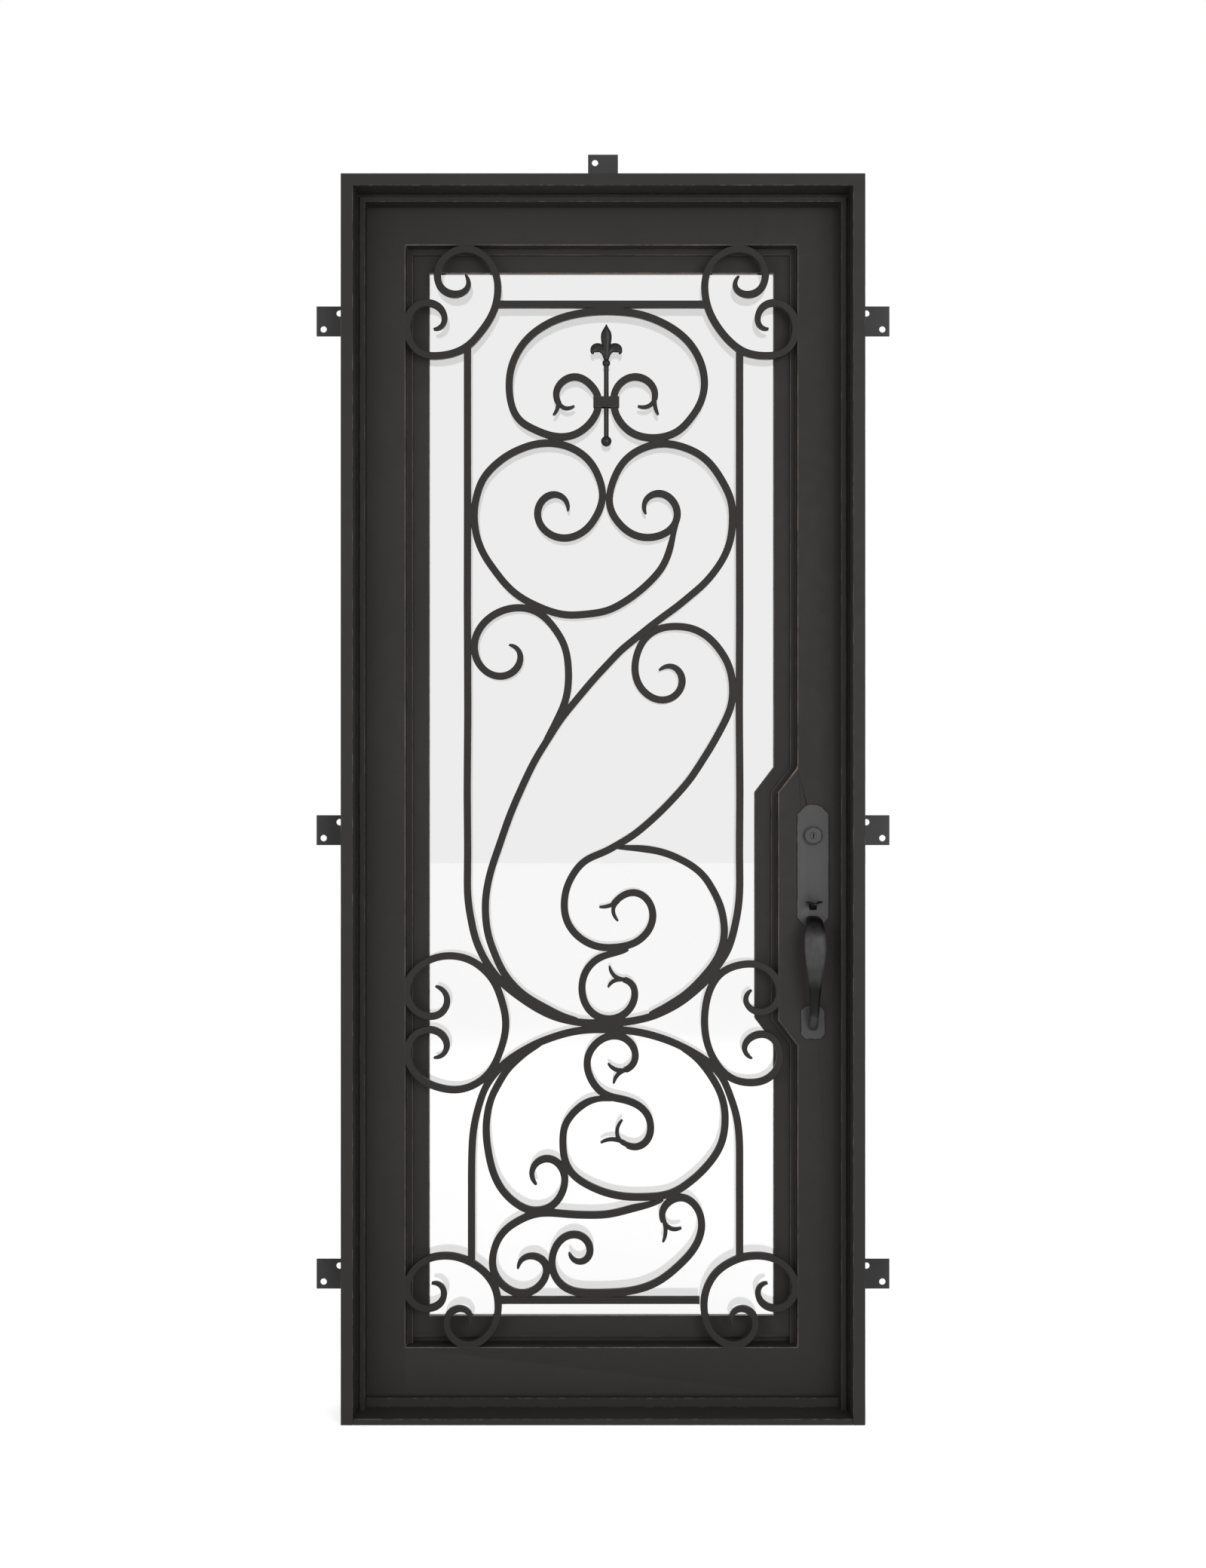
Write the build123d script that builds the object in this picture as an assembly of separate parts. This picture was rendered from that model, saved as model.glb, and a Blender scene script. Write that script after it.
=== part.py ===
from build123d import *
import os
import numpy as np

# Iron entry door in its frame. X runs along the wall from the hinge side to the lock side,
# Y from the street into the house, Z up. The origin is the middle of the frame's foot.
# All lengths are millimetres.

# Frame
FRAME_WIDTH = 1022.0
FRAME_HEIGHT = 2438.4
FRAME_DEPTH = 152.4
JAMB_THICK = 24.0
SILL_THICK = 12.7
STOP_REACH = 17.2
STOP_DEPTH = 41.6
STOP_GROOVE_WIDTH = 6.8
STOP_GROOVE_DEPTH = 8.0
SILL_STOP_DEPTH = 18.0
SILL_STOP_HEIGHT = 18.7

# Anchor tabs that fasten the frame to the wall
TAB_WIDTH = 59.7
TAB_REACH = 60.0
HEAD_TAB_REACH = 65.0
TAB_THICK = 3.0
TAB_HOLE_RADIUS = 6.25
TAB_HOLE_SPREAD = 31.8
TAB_SETBACK = 100.0
LOW_TAB_HEIGHT = 273.0
MIDDLE_TAB_HEIGHT = 1157.0
HIGH_TAB_DROP = 267.4

# Leaf
LEAF_THICK = 50.8
LEAF_GAP = 5.5
STOP_CLEAR = 5.0
LOCK_BEVEL = 2.5
HINGE_STILE_WIDTH = 87.7
LOCK_STILE_WIDTH = 93.8
TOP_RAIL_HEIGHT = 86.1
BOTTOM_RAIL_HEIGHT = 108.1
LOCK_BOX_SHARE = 0.049
LOCK_BOX_OVER_PLATE = 24.6
LOCK_BOX_OVER_BASE = 36.8
LOCK_BOX_SLOPE = 50.5

# Glazing behind the scrollwork
GLAZING_SETBACK = 31.0
GLAZING_STOP_WIDTH = 12.1
GLAZING_STOP_THICK = 7.0
SASH_CLEAR = 3.0
SASH_FOOT_CLEAR = 11.5
SASH_BORDER = 44.5
SASH_HEAD_BORDER = 46.2
SASH_FOOT_BORDER = 53.0
SASH_THICK = 25.4
SASH_LIP = 3.0
SASH_FLANGE = 12.0
GLASS_REBATE = 10.0
GLASS_THICK = 8.0
BEAD_THICK = 8.0

# Hinges
HINGE_COUNT = 4
LOW_HINGE_RISE = 231.8
TOP_HINGE_DROP = 208.9
HINGE_LENGTH = 127.0
HINGE_PLATE_DEPTH = 38.0
HINGE_PLATE_THICK = 3.0
KNUCKLE_RADIUS = 8.0
KNUCKLE_COUNT = 5
KNUCKLE_CLEAR = 0.6
PIN_RADIUS = 4.0
PIN_CLEAR = 0.08
PIN_HEAD_RADIUS = 6.5
PIN_HEAD_HEIGHT = 3.0
BARREL_CLEAR = 1.0

# Forged bars of the grille
BAR_WIDTH = 14.2
BAR_DEPTH = 14.0
TIP_WIDTH = 3.6
FORK_WIDTH = 11.5
TAPER_LENGTH = 60.0
TINE_WIDTH = 8.0
POINT_SPACING = 9.0
FAIRNESS = 2.0
END_HOLD = 30.0

# Places on the grille are read from a picture of the door, in its own pixels, and scaled
# to the opening in the leaf. The picture shows that opening between these edges.
PICTURE_LEFT = 538.0
PICTURE_RIGHT = 1058.0
PICTURE_TOP = 325.5
PICTURE_BOTTOM = 1787.0

# Handle set: every height on it hangs on the knob's height
KNOB_HEIGHT = 1010.0
HANDLE_INSET = 63.2
PLATE_WIDTH = 62.2
PLATE_OVER_KNOB = 198.0
PLATE_UNDER_KNOB = 46.5
PLATE_THICK = 5.0
PLATE_SHOULDER = 19.0
PLATE_NOTCH = 5.5
CYLINDER_OVER_KNOB = 136.5
CYLINDER_RADIUS = 18.0
CYLINDER_REACH = 12.0
CYLINDER_BEVEL = 3.0
PLUG_RADIUS = 6.4
PLUG_CLEAR = 0.5
PLUG_LENGTH = 22.0
KEYWAY_WIDTH = 2.2
KEYWAY_HEIGHT = 8.6
KEYWAY_DEPTH = 8.0
THUMB_UNDER_KNOB = 4.0
THUMB_WIDTH = 35.5
THUMB_REACH = 42.0
THUMB_THICK = 5.0
THUMB_NOSE = 14.9
THUMB_DISH_RISE = 2.0
THUMB_LIP_HEIGHT = 8.2
THUMB_LIP_RETURN = 6.0
THUMB_CORNER = 12.0
THUMB_NECK_WIDTH = 12.0
THUMB_NECK_LAP = 6.0
THUMB_CLEAR = 1.0
THUMB_DROP = 4.0
THUMB_PIVOT_DEPTH = 5.0
THUMB_PIVOT_RADIUS = 2.5
THUMB_PIVOT_LENGTH = 24.0
THUMB_TAIL = 14.0
GRIP_UNDER_KNOB = 25.0
GRIP_LENGTH = 227.0
GRIP_REACH = 58.0
GRIP_WIDEST = 44.4
GRIP_NARROW = 20.5
BASE_WIDTH = 46.4
BASE_OVER_FOOT = 47.9
BASE_HEIGHT = 64.6
BASE_THICK = 5.0
BASE_CHAMFER = 9.0

# Side of the grip: share of its reach, then share of its length below its top or above its foot
GRIP_OUTER_TOP = [(0.0, 0.0), (0.55, 0.0176), (0.95, 0.1498), (1.0, 0.3304)]
GRIP_OUTER_FOOT = [(0.86, 0.3172), (0.5, 0.0969), (0.0, 0.0)]
GRIP_INNER_FOOT = [(0.0, 0.063), (0.42, 0.1542), (0.7, 0.3436)]
GRIP_INNER_TOP = [(0.82, 0.3348), (0.76, 0.185), (0.48, 0.0705), (0.0, 0.0485)]
# Face of the grip: share of its half width at the widest or the narrowest, then share of its length
GRIP_FACE_TOP = [(0.6, -0.0088), (0.92, 0.1233), (1.0, 0.2159), (0.86, 0.3965)]
GRIP_FACE_FOOT = [(1.15, 0.3744), (1.0, 0.2731), (0.88, 0.1322), (0.88, -0.0088)]

# Inside fittings and lock
KNOB_RADIUS = 27.0
KNOB_REACH = 62.0
KNOB_NECK_RADIUS = 9.0
KNOB_NECK_START = 8.0
KNOB_ROSE_RADIUS = 18.9
KNOB_ROSE_THICK = 4.0
# Head of the knob: share of its radius, then share of its reach
KNOB_HEAD = [(0.85, 0.6), (1.0, 0.75), (0.85, 0.92), (0.45, 1.0)]
TURN_RADIUS = 14.0
TURN_LENGTH = 34.0
TURN_THICK = 7.0
TURN_REACH = 24.0
TURN_ROSE_THICK = 5.0
TURN_ROSE_CROWN = 8.0
TURN_LAP = 2.0
FACEPLATE_WIDTH = 25.4
FACEPLATE_HEIGHT = 200.0
FACEPLATE_THICK = 2.5
STRIKE_WIDTH = 28.0
STRIKE_HEIGHT = 90.0
STRIKE_HOLE_WIDTH = 16.0
STRIKE_HOLE_HEIGHT = 32.0
STRIKE_HOLE_DEPTH = 19.2

# Finial between the crown's two curls
FINIAL_ROD_RADIUS = 4.85
LOWER_BALL_RADIUS = 10.7
UPPER_BALL_RADIUS = 8.0
LILY_DEPTH = 10.0
COLLAR_WIDTH = 52.0
COLLAR_HEIGHT = 21.5
COLLAR_WALL = 3.0

# Cuts run this far past the face they leave
CUT_OVER = 1.0

# Derived places
HALF = FRAME_WIDTH / 2
JAMB_FACE = HALF - JAMB_THICK
HEAD_FACE = FRAME_HEIGHT - JAMB_THICK
FRAME_BACK = FRAME_DEPTH / 2
FRAME_FRONT = -FRAME_DEPTH / 2
LEAF_BACK = FRAME_BACK
LEAF_FRONT = LEAF_BACK - LEAF_THICK
LEAF_HALF = JAMB_FACE - LEAF_GAP
LEAF_FOOT = SILL_THICK + LEAF_GAP
LEAF_TOP = HEAD_FACE - LEAF_GAP
STOP_BACK = LEAF_FRONT - STOP_CLEAR
STOP_FRONT = STOP_BACK - STOP_DEPTH
STOP_FACE = JAMB_FACE - STOP_REACH
TAB_HEIGHTS = (LOW_TAB_HEIGHT, MIDDLE_TAB_HEIGHT, FRAME_HEIGHT - HIGH_TAB_DROP)
LITE_LEFT = -LEAF_HALF + HINGE_STILE_WIDTH
LITE_RIGHT = LEAF_HALF - LOCK_STILE_WIDTH
LOCK_BOX_REACH = LOCK_BOX_SHARE * (LITE_RIGHT - LITE_LEFT)
LITE_TOP = LEAF_TOP - TOP_RAIL_HEIGHT
LITE_FOOT = LEAF_FOOT + BOTTOM_RAIL_HEIGHT
HINGE_X = -(JAMB_FACE + LEAF_HALF) / 2
HINGE_Y = LEAF_BACK + KNUCKLE_RADIUS + BARREL_CLEAR
HINGE_HEIGHTS = np.linspace(LEAF_FOOT + LOW_HINGE_RISE, LEAF_TOP - TOP_HINGE_DROP, HINGE_COUNT)
GLAZING_FRONT = LEAF_FRONT + GLAZING_SETBACK
SASH_FRONT = GLAZING_FRONT + GLAZING_STOP_THICK
GLASS_FRONT = SASH_FRONT + SASH_LIP
HANDLE_X = LEAF_HALF - HANDLE_INSET
PLATE_FRONT = LEAF_FRONT - PLATE_THICK
PLATE_TOP = KNOB_HEIGHT + PLATE_OVER_KNOB
PLATE_BOTTOM = KNOB_HEIGHT - PLATE_UNDER_KNOB
CYLINDER_HEIGHT = KNOB_HEIGHT + CYLINDER_OVER_KNOB
THUMB_HEIGHT = KNOB_HEIGHT - THUMB_UNDER_KNOB
GRIP_TOP = KNOB_HEIGHT - GRIP_UNDER_KNOB
GRIP_FOOT = GRIP_TOP - GRIP_LENGTH
BASE_TOP = GRIP_FOOT + BASE_OVER_FOOT
BASE_BOTTOM = BASE_TOP - BASE_HEIGHT
LOCK_BOX_TOP = PLATE_TOP + LOCK_BOX_OVER_PLATE
LOCK_BOX_BOTTOM = BASE_BOTTOM + LOCK_BOX_OVER_BASE
INSIDE_PLATE_BACK = LEAF_BACK + PLATE_THICK


def block(x0, x1, y0, y1, z0, z1):
    """Box between two corners."""
    return Pos((x0 + x1) / 2, (y0 + y1) / 2, (z0 + z1) / 2) * Box(x1 - x0, y1 - y0, z1 - z0)


def slab(outline, front, depth):
    """Flat outline drawn in X and Z, given a thickness from its front towards the house."""
    wall = Plane(origin=(0, front, 0), x_dir=(1, 0, 0), z_dir=(0, -1, 0))
    return extrude(wall * outline, amount=depth, dir=(0, 1, 0))


def outline_of(points):
    """Straight-sided outline through the given corners."""
    return make_face(Polyline(*points, close=True))


def round_bar(radius, x, z, front, depth):
    """Cylinder along Y, from its front towards the house."""
    return slab(Pos(x, z) * Circle(radius), front, depth)


def at(px, py):
    """Place on the leaf's face of a point read from the picture."""
    across = (px - PICTURE_LEFT) / (PICTURE_RIGHT - PICTURE_LEFT)
    up = (PICTURE_BOTTOM - py) / (PICTURE_BOTTOM - PICTURE_TOP)
    return LITE_LEFT + across * (LITE_RIGHT - LITE_LEFT), LITE_FOOT + up * (LITE_TOP - LITE_FOOT)


def fair_line(points):
    """Evenly spaced places on the fair curve that runs nearest to the given points."""
    picked = np.array([at(px, py) for px, py in points])
    run = np.concatenate([[0.0], np.cumsum(np.linalg.norm(np.diff(picked, axis=0), axis=1))])
    count = max(int(run[-1] / POINT_SPACING) + 1, 6)
    place = run / run[-1] * (count - 1)
    low = np.minimum(place.astype(int), count - 2)
    rows = np.arange(len(picked))
    share = np.zeros((len(picked), count))
    share[rows, low] = 1 - (place - low)
    share[rows, low + 1] += place - low
    hold = np.ones(len(picked))
    hold[[0, -1]] = END_HOLD
    bend = np.diff(np.eye(count), n=3, axis=0)
    system = share.T @ (hold[:, None] * share) + FAIRNESS * bend.T @ bend
    return np.linalg.solve(system, share.T @ (hold[:, None] * picked))


def bar_outline(points, width=BAR_WIDTH, start=TIP_WIDTH, end=TIP_WIDTH, taper=TAPER_LENGTH):
    """Outline of a forged bar along a curve, drawn down to its start and end widths."""
    line = fair_line(points)
    way = np.gradient(line, axis=0)
    way /= np.linalg.norm(way, axis=1)[:, None]
    side = np.stack([-way[:, 1], way[:, 0]], axis=1)
    run = np.concatenate([[0.0], np.cumsum(np.linalg.norm(np.diff(line, axis=0), axis=1))])
    reach = min(taper, run[-1] / 2)
    near = np.sqrt(np.clip(run / reach, 0, 1))
    far = np.sqrt(np.clip((run[-1] - run) / reach, 0, 1))
    half = (width - (width - start) * (1 - near) - (width - end) * (1 - far)) / 2
    left = [tuple(p) for p in line + side * half[:, None]]
    right = [tuple(p) for p in line - side * half[:, None]]
    edges = [Spline(*left), Line(left[-1], right[-1]), Spline(*reversed(right)), Line(right[0], left[0])]
    return make_face(edges)


def forged(points, start=TIP_WIDTH, end=TIP_WIDTH, tines=()):
    """Outline of a scroll with the split tines at its ends."""
    shape = bar_outline(points, start=start, end=end)
    for tine in tines:
        shape = shape + bar_outline(tine, width=TINE_WIDTH, start=TINE_WIDTH)
    return shape


CORNER_TOP_LEFT = [
    (617.5, 364), (621.3, 373.8), (618.1, 384.4), (603.8, 389.6), (585.6, 381.3), (580.3, 367.9),
    (581.3, 358.1), (585, 347.5), (596.3, 336.3), (619, 330), (642.1, 338.5), (653.8, 353.8),
    (658.1, 363.8), (660.1, 380), (658.9, 397.5), (655, 411.3), (645.1, 430), (637.3, 440),
    (623.1, 456), (600, 468.1), (580, 471.1), (570, 470.9), (559.4, 468.8), (544.4, 452.5),
    (540.3, 430), (544.4, 413.8), (558.1, 402.5), (567.5, 401.5), (578.8, 404.4), (589.8, 420),
    (588.1, 428.1), (580, 436.3), (575, 436)]
CORNER_TOP_RIGHT = [
    (980.4, 365.6), (975, 376.3), (979.4, 385.6), (990.6, 389.8), (1008.8, 383.1), (1015.1, 366.9),
    (1014.4, 355), (1006.3, 340), (980, 330.1), (958.1, 336.5), (943.1, 349.8), (937.8, 361.9),
    (935.3, 380), (937.1, 397.5), (940, 408.8), (945, 420.6), (950.9, 430.3), (957.9, 440.6),
    (966.3, 449.8), (976.9, 459.4), (988.1, 466.3), (999.4, 469.6), (1016.3, 471.1),
    (1026.9, 470.5), (1040, 466.9), (1051.9, 453.1), (1055.4, 435), (1053.4, 420.6), (1045, 408.1),
    (1029.4, 401.4), (1017.5, 403.1), (1007.5, 413.8), (1005.4, 423.1), (1008.8, 431.9),
    (1015, 436.5), (1020, 435.6)]
CORNER_BOTTOM_LEFT = [
    (572.5, 1703.1), (578.1, 1702.5), (585.4, 1706.9), (588.8, 1717.5), (584.6, 1729),
    (572.5, 1735.3), (564.4, 1736), (551, 1731.9), (541.3, 1718.1), (540.3, 1707.5), (541.3, 1700),
    (545.9, 1690), (553.8, 1680), (568.1, 1670.6), (580, 1667.6), (591.3, 1666.6), (606.3, 1668.3),
    (621.3, 1673.8), (632.5, 1680.4), (643.1, 1689), (651, 1699.4), (656.9, 1710), (660, 1723.8),
    (660.4, 1735), (659.9, 1745), (656.3, 1757.5), (649.4, 1768.1), (639, 1778.8), (621.3, 1784.5),
    (607.5, 1781), (597.3, 1771.3), (593.5, 1759.4), (593.1, 1750), (596.3, 1743.1),
    (603.8, 1738.5), (611.3, 1736.5), (620.3, 1739.8), (623.5, 1746.9), (624.4, 1753.8),
    (623.1, 1757.5)]
CORNER_BOTTOM_RIGHT = [
    (1018.8, 1702.5), (1014.1, 1702.5), (1008.4, 1707.5), (1005.8, 1716.3), (1008.8, 1725.9),
    (1017.5, 1733.5), (1027.5, 1735.6), (1038.8, 1734.8), (1049.4, 1725.6), (1055, 1713.8),
    (1054.4, 1703.8), (1051.3, 1691.3), (1044.4, 1681.9), (1032.1, 1672.8), (1021.9, 1668.8),
    (1003.1, 1666.6), (989.4, 1668), (978.8, 1671), (968.1, 1676), (957.5, 1682.8),
    (948.8, 1690.6), (942.5, 1700.4), (937.5, 1711.3), (934.8, 1722.1), (934.4, 1735),
    (935.6, 1746.3), (939, 1758.8), (946.3, 1770.3), (957.5, 1779.8), (973.8, 1784.5),
    (988.8, 1780), (999, 1769.4), (1002, 1757.5), (1000.6, 1747.5), (996.3, 1741.3),
    (984.4, 1736.5), (973.4, 1740.9), (970.6, 1748.1), (971.3, 1751.3), (973.5, 1757.8)]
SIDE_LEFT = [
    (577.5, 1308.4), (587.9, 1315), (592.1, 1321.3), (593, 1328.1), (590, 1337.5), (586.3, 1343.1),
    (580, 1347), (572.5, 1348.3), (560, 1346), (548.1, 1338.1), (541.3, 1325), (539.9, 1314.4),
    (543.1, 1298.1), (553.8, 1284.4), (570, 1273.8), (580, 1270.3), (600, 1268.4), (619.4, 1272.5),
    (630.6, 1277.8), (642.3, 1287.3), (654.4, 1301.3), (664.8, 1326.3), (670.3, 1348.8),
    (670.6, 1358.8), (670, 1370), (664.8, 1390.6), (659.6, 1404.4), (653.8, 1416.3),
    (642.9, 1429.4), (631.5, 1437.9), (620.3, 1442.9), (603.8, 1446.1), (589.4, 1444.6),
    (579.4, 1442.1), (569, 1438.1), (558.1, 1431.5), (546, 1416.9), (540.9, 1400), (541, 1391.3),
    (546, 1378.1), (556.9, 1368.8), (569.4, 1366.5), (581, 1369.4), (589.8, 1377.5),
    (592.8, 1387.9), (588.8, 1397.5), (580, 1403.1), (575.3, 1403.5)]
SIDE_RIGHT = [
    (997.5, 1313.5), (992.5, 1317.8), (989.8, 1326.3), (993.4, 1335.9), (1001, 1340.9),
    (1010, 1342.3), (1021.5, 1339), (1031.6, 1328.1), (1034.1, 1315), (1032.5, 1306.9),
    (1026.3, 1293.8), (1014.4, 1283.1), (1001.9, 1279.6), (991.3, 1279.3), (979.4, 1281),
    (968.4, 1284.8), (957.9, 1290.6), (951.3, 1297.5), (945.6, 1306.3), (941, 1316.3),
    (937.1, 1331.9), (935, 1350), (935.6, 1366.3), (938, 1381.9), (942.3, 1395), (945.9, 1402.8),
    (956.3, 1418.1), (966.5, 1428.1), (978.1, 1433.8), (996.3, 1436.4), (1012.5, 1434.1),
    (1023.5, 1427.5), (1031.5, 1417.3), (1034.9, 1403.1), (1033.1, 1391.9), (1023.8, 1376.5),
    (1009, 1372.6), (998.1, 1375.9), (988.5, 1386.3), (988.3, 1392.5), (992.1, 1400.6),
    (998.1, 1404.4)]
CROWN = [
    (741, 534), (737.8, 523), (745.5, 506.5), (764.4, 499.4), (784, 511), (793, 525),
    (794.3, 533), (793.2, 541), (788.6, 552.4), (776.4, 567), (760, 576.7), (745, 578.8),
    (730, 577.1), (719.4, 573.6), (710, 569.4), (700, 564.2), (692.2, 559.8), (684.4, 550.3),
    (679.9, 540), (677.1, 530), (675.8, 520), (675.5, 510), (677.6, 490), (685, 470),
    (700, 448.6), (720, 432.8), (730, 427.2), (740, 422.8), (760, 417), (775, 414.3), (790, 412.6),
    (805, 412.2), (820, 412.6), (830, 413.5), (840, 414.8), (850, 416.8), (860, 419.7),
    (870, 423.6), (880, 428.1), (890, 433.6), (900, 440.4), (907.5, 447), (914.3, 453.8),
    (920.8, 462.6), (925.8, 471.5), (930, 481), (932.8, 490.8), (934.4, 501), (934.7, 511),
    (933.3, 521.4), (930.4, 531), (926, 540.5), (920.5, 549), (915, 556), (908, 564),
    (900, 571.2), (890, 575.9), (880, 578.8), (867, 580.3), (856, 579.4), (848, 577.5),
    (840, 574.3), (833, 569.8), (827, 563.8), (821.4, 556.5), (817.5, 549.3), (815.2, 541.4),
    (814.4, 533), (814.8, 524), (816.5, 518), (820, 512), (824.8, 506.6), (829.5, 503.3),
    (836, 500.3), (843.6, 499.4), (851, 500.8), (859.5, 505), (865.3, 511.5), (868.4, 518),
    (869.3, 523), (868.5, 529)]
CROWN_TINES = [
    [(739, 527), (744, 537), (753, 541.5), (762, 538)],
    [(739, 527), (740, 537), (738.5, 544), (734, 550)],
    [(868.5, 529), (864.5, 535.5), (857, 539.2), (851.5, 539.4), (846.2, 538.2)],
    [(868.5, 529), (869.3, 537), (870.4, 543.5), (873.5, 549.5)]]
HEART = [
    (753.4, 677.6), (753.5, 672.5), (752.1, 667), (749, 661.8), (741, 656.4), (734.4, 655.6),
    (719.8, 663.6), (713.4, 682), (720.3, 700), (748, 713.3), (760, 711.5), (779.5, 700),
    (793, 680), (799.4, 659), (795, 635), (781, 610), (769, 600), (760, 594.6), (729, 587.4),
    (700, 591.5), (690, 595.5), (680, 600), (670, 605.8), (661.5, 612.4), (653.3, 619.8),
    (646.5, 627.3), (642.5, 632.6), (638.5, 639.2), (635.9, 645.9), (633.9, 652.6),
    (631.6, 660.8), (630.1, 669), (628.9, 680), (629.5, 691.4), (630.6, 701.4), (632.3, 711.4),
    (635.7, 721), (640, 731.4), (645, 740.5), (653.9, 753), (663.7, 766.4), (673.4, 777.4),
    (683.1, 786.4), (697.7, 796.2), (708, 801.4), (718.1, 806), (729.3, 810.3), (740, 813.3),
    (750, 815.2), (760, 815.6), (780, 814), (800, 811.1), (810.2, 807.9), (820.4, 802.7),
    (830.1, 797), (840, 790.4), (850.1, 782.5), (860, 773.4), (867.5, 765.9), (877, 754.2),
    (882.1, 745.5), (885.8, 736.5), (888.6, 728), (891.3, 718.3), (893.3, 709.2), (896.5, 699),
    (900, 691)]
MAIN_SCROLL = [
    (857, 681.5), (854.8, 673), (856, 664.9), (859.6, 660), (866.3, 655.6), (874, 654.3),
    (883, 656.3), (890, 662), (894.7, 667.5), (898.2, 677), (898.5, 683), (896.7, 691.5),
    (891.3, 700), (882, 706.9), (871, 711), (860, 712.6), (850, 711.5), (840, 708.5),
    (830.1, 702), (820.6, 692.5), (813.2, 681.8), (809.5, 672), (808.5, 660), (810.1, 649.8),
    (812.5, 641), (816.4, 630.8), (820.8, 622), (826.5, 613.8), (835, 604.9), (840, 601.4),
    (850, 595.6), (862, 591), (880, 588.1), (890, 589), (900, 590.6), (910, 594), (920, 598.1),
    (930, 603.8), (937.9, 610.3), (944.4, 617.2), (950, 624.3), (954.5, 631), (959.4, 639.8),
    (965, 650.3), (968.3, 658), (970.6, 667), (971.7, 676), (972, 686), (971.6, 696),
    (970.9, 706.3), (968.8, 717), (965, 728.5), (961, 738), (954.3, 749), (948.7, 757),
    (943.5, 763.7), (938, 769.8), (930, 778.2), (920, 786.4), (910, 794.8), (900, 803.3),
    (890, 810.4), (880, 817.8), (870, 825.3), (860, 833), (850, 841), (840, 849.5),
    (830.2, 856.9), (820.1, 866.2), (810, 877), (800, 887.5), (788.5, 900), (774, 917),
    (760, 933.9), (743.3, 955), (727.5, 979.5), (714.6, 1000), (700, 1027.7), (684, 1063),
    (669.6, 1100), (662.9, 1120), (655.8, 1140), (649.9, 1160), (645.7, 1180), (643.8, 1200),
    (644.6, 1220), (647.5, 1240), (650.4, 1250), (654.2, 1260), (662.5, 1280), (669.5, 1292.5),
    (677.4, 1303), (688, 1314), (700.3, 1323.9), (717.8, 1334.2), (737.9, 1344.2), (750, 1348.8),
    (766, 1352)]
BRANCH_LEFT = [
    (675.2, 855.3), (680, 856.5), (684, 858.8), (687.8, 862.8), (689.8, 868), (690, 873),
    (688.9, 878.8), (685.8, 885.4), (680, 891), (672.5, 895.2), (663, 896.8), (642, 888),
    (629.4, 861), (635, 836), (650, 819), (669, 809), (689, 806), (701.7, 807.8),
    (712.5, 811.7), (722.9, 819.2), (729.3, 825.4), (734, 831.6), (739.6, 839.5),
    (744.2, 846.6), (748.6, 856.4), (751.4, 866.4), (753.2, 877.8), (754.1, 889.3),
    (754.1, 900.5), (753.3, 911.4), (752.3, 919), (750.4, 927.8), (747.6, 935.7),
    (743.8, 944.8), (739.3, 954), (734.5, 963), (729, 972), (720.5, 986)]
BRANCH_RIGHT = [
    (813, 1201), (821, 1192.5), (829.5, 1187), (840, 1184), (857, 1192), (866, 1213),
    (865.3, 1222.5), (862.2, 1231), (857.3, 1238.5), (850, 1245.5), (840, 1252), (827, 1255.5),
    (812, 1257), (800, 1257.2), (780, 1250.9), (760, 1234.8), (750.6, 1217), (748.8, 1198),
    (751.6, 1179), (760.4, 1160.6), (780, 1139.6), (800, 1131.3), (810, 1126), (820, 1120),
    (830, 1114.6), (840.2, 1108), (850, 1100.2), (860.1, 1091.8), (869.7, 1083.2),
    (879.8, 1073.4), (889.8, 1063.2), (899.9, 1052.2), (910, 1040.6), (920.1, 1027.4),
    (927, 1016.9), (932.5, 1008), (939.9, 996.8), (946, 986.3), (951.5, 976.6), (956.5, 967.3),
    (961.5, 957.6), (966.2, 947.2), (969.7, 936.9), (971.5, 928.5), (972.1, 919), (971.6, 904),
    (970, 893.5), (967, 882.8), (962.3, 873.1), (955.4, 862.3), (948, 853), (939.5, 844.9),
    (930.2, 838.9), (920.1, 834.1), (910.8, 831.9), (900, 831), (890, 831), (879.8, 832.6),
    (866.9, 837.8), (859.6, 843.6), (854.6, 848.2), (850.4, 855.8), (846.6, 864), (844, 873),
    (842.7, 882.8), (843, 892), (845.4, 902.8), (850.3, 911.9), (856.5, 918.8), (865.6, 925),
    (875.3, 928.3), (896, 922), (905, 904), (901, 890), (890, 883.8), (874.4, 889)]
BRANCH_RIGHT_TINES = [
    [(820, 1196), (809, 1201), (802, 1203.5), (795, 1203.2)],
    [(820, 1196), (814, 1203), (814.4, 1211), (820, 1222)]]
RING = [
    (815, 1124), (828, 1124.6), (840, 1125), (860, 1127), (880, 1131), (900, 1138.9),
    (916, 1147.5), (926.9, 1155.7), (936.4, 1165.3), (945.9, 1181), (955.3, 1200.1),
    (959.9, 1220.7), (961.1, 1230), (961.2, 1240), (959.6, 1248.5), (954.3, 1266.3),
    (943.8, 1283.5), (933.5, 1296), (923.3, 1306.9), (913.1, 1316.4), (902.7, 1324.4),
    (892.2, 1330.6), (881.7, 1336.2), (871.3, 1341), (861.5, 1344.8)]
WAIST_UPPER = [
    (834, 1260), (820, 1264.4), (800, 1268.7), (786, 1278), (776, 1292), (772.2, 1310),
    (776, 1330), (786, 1344), (809, 1352), (824, 1348), (834, 1340), (842, 1321), (841, 1311),
    (836, 1303.5), (827.9, 1299.9)]
WAIST_UPPER_TINES = [
    [(827.9, 1299.9), (818.5, 1296.8), (811.5, 1290.3), (808.6, 1281.6)],
    [(827.9, 1299.9), (818, 1300.6), (810.5, 1304), (806.8, 1310)]]
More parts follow.
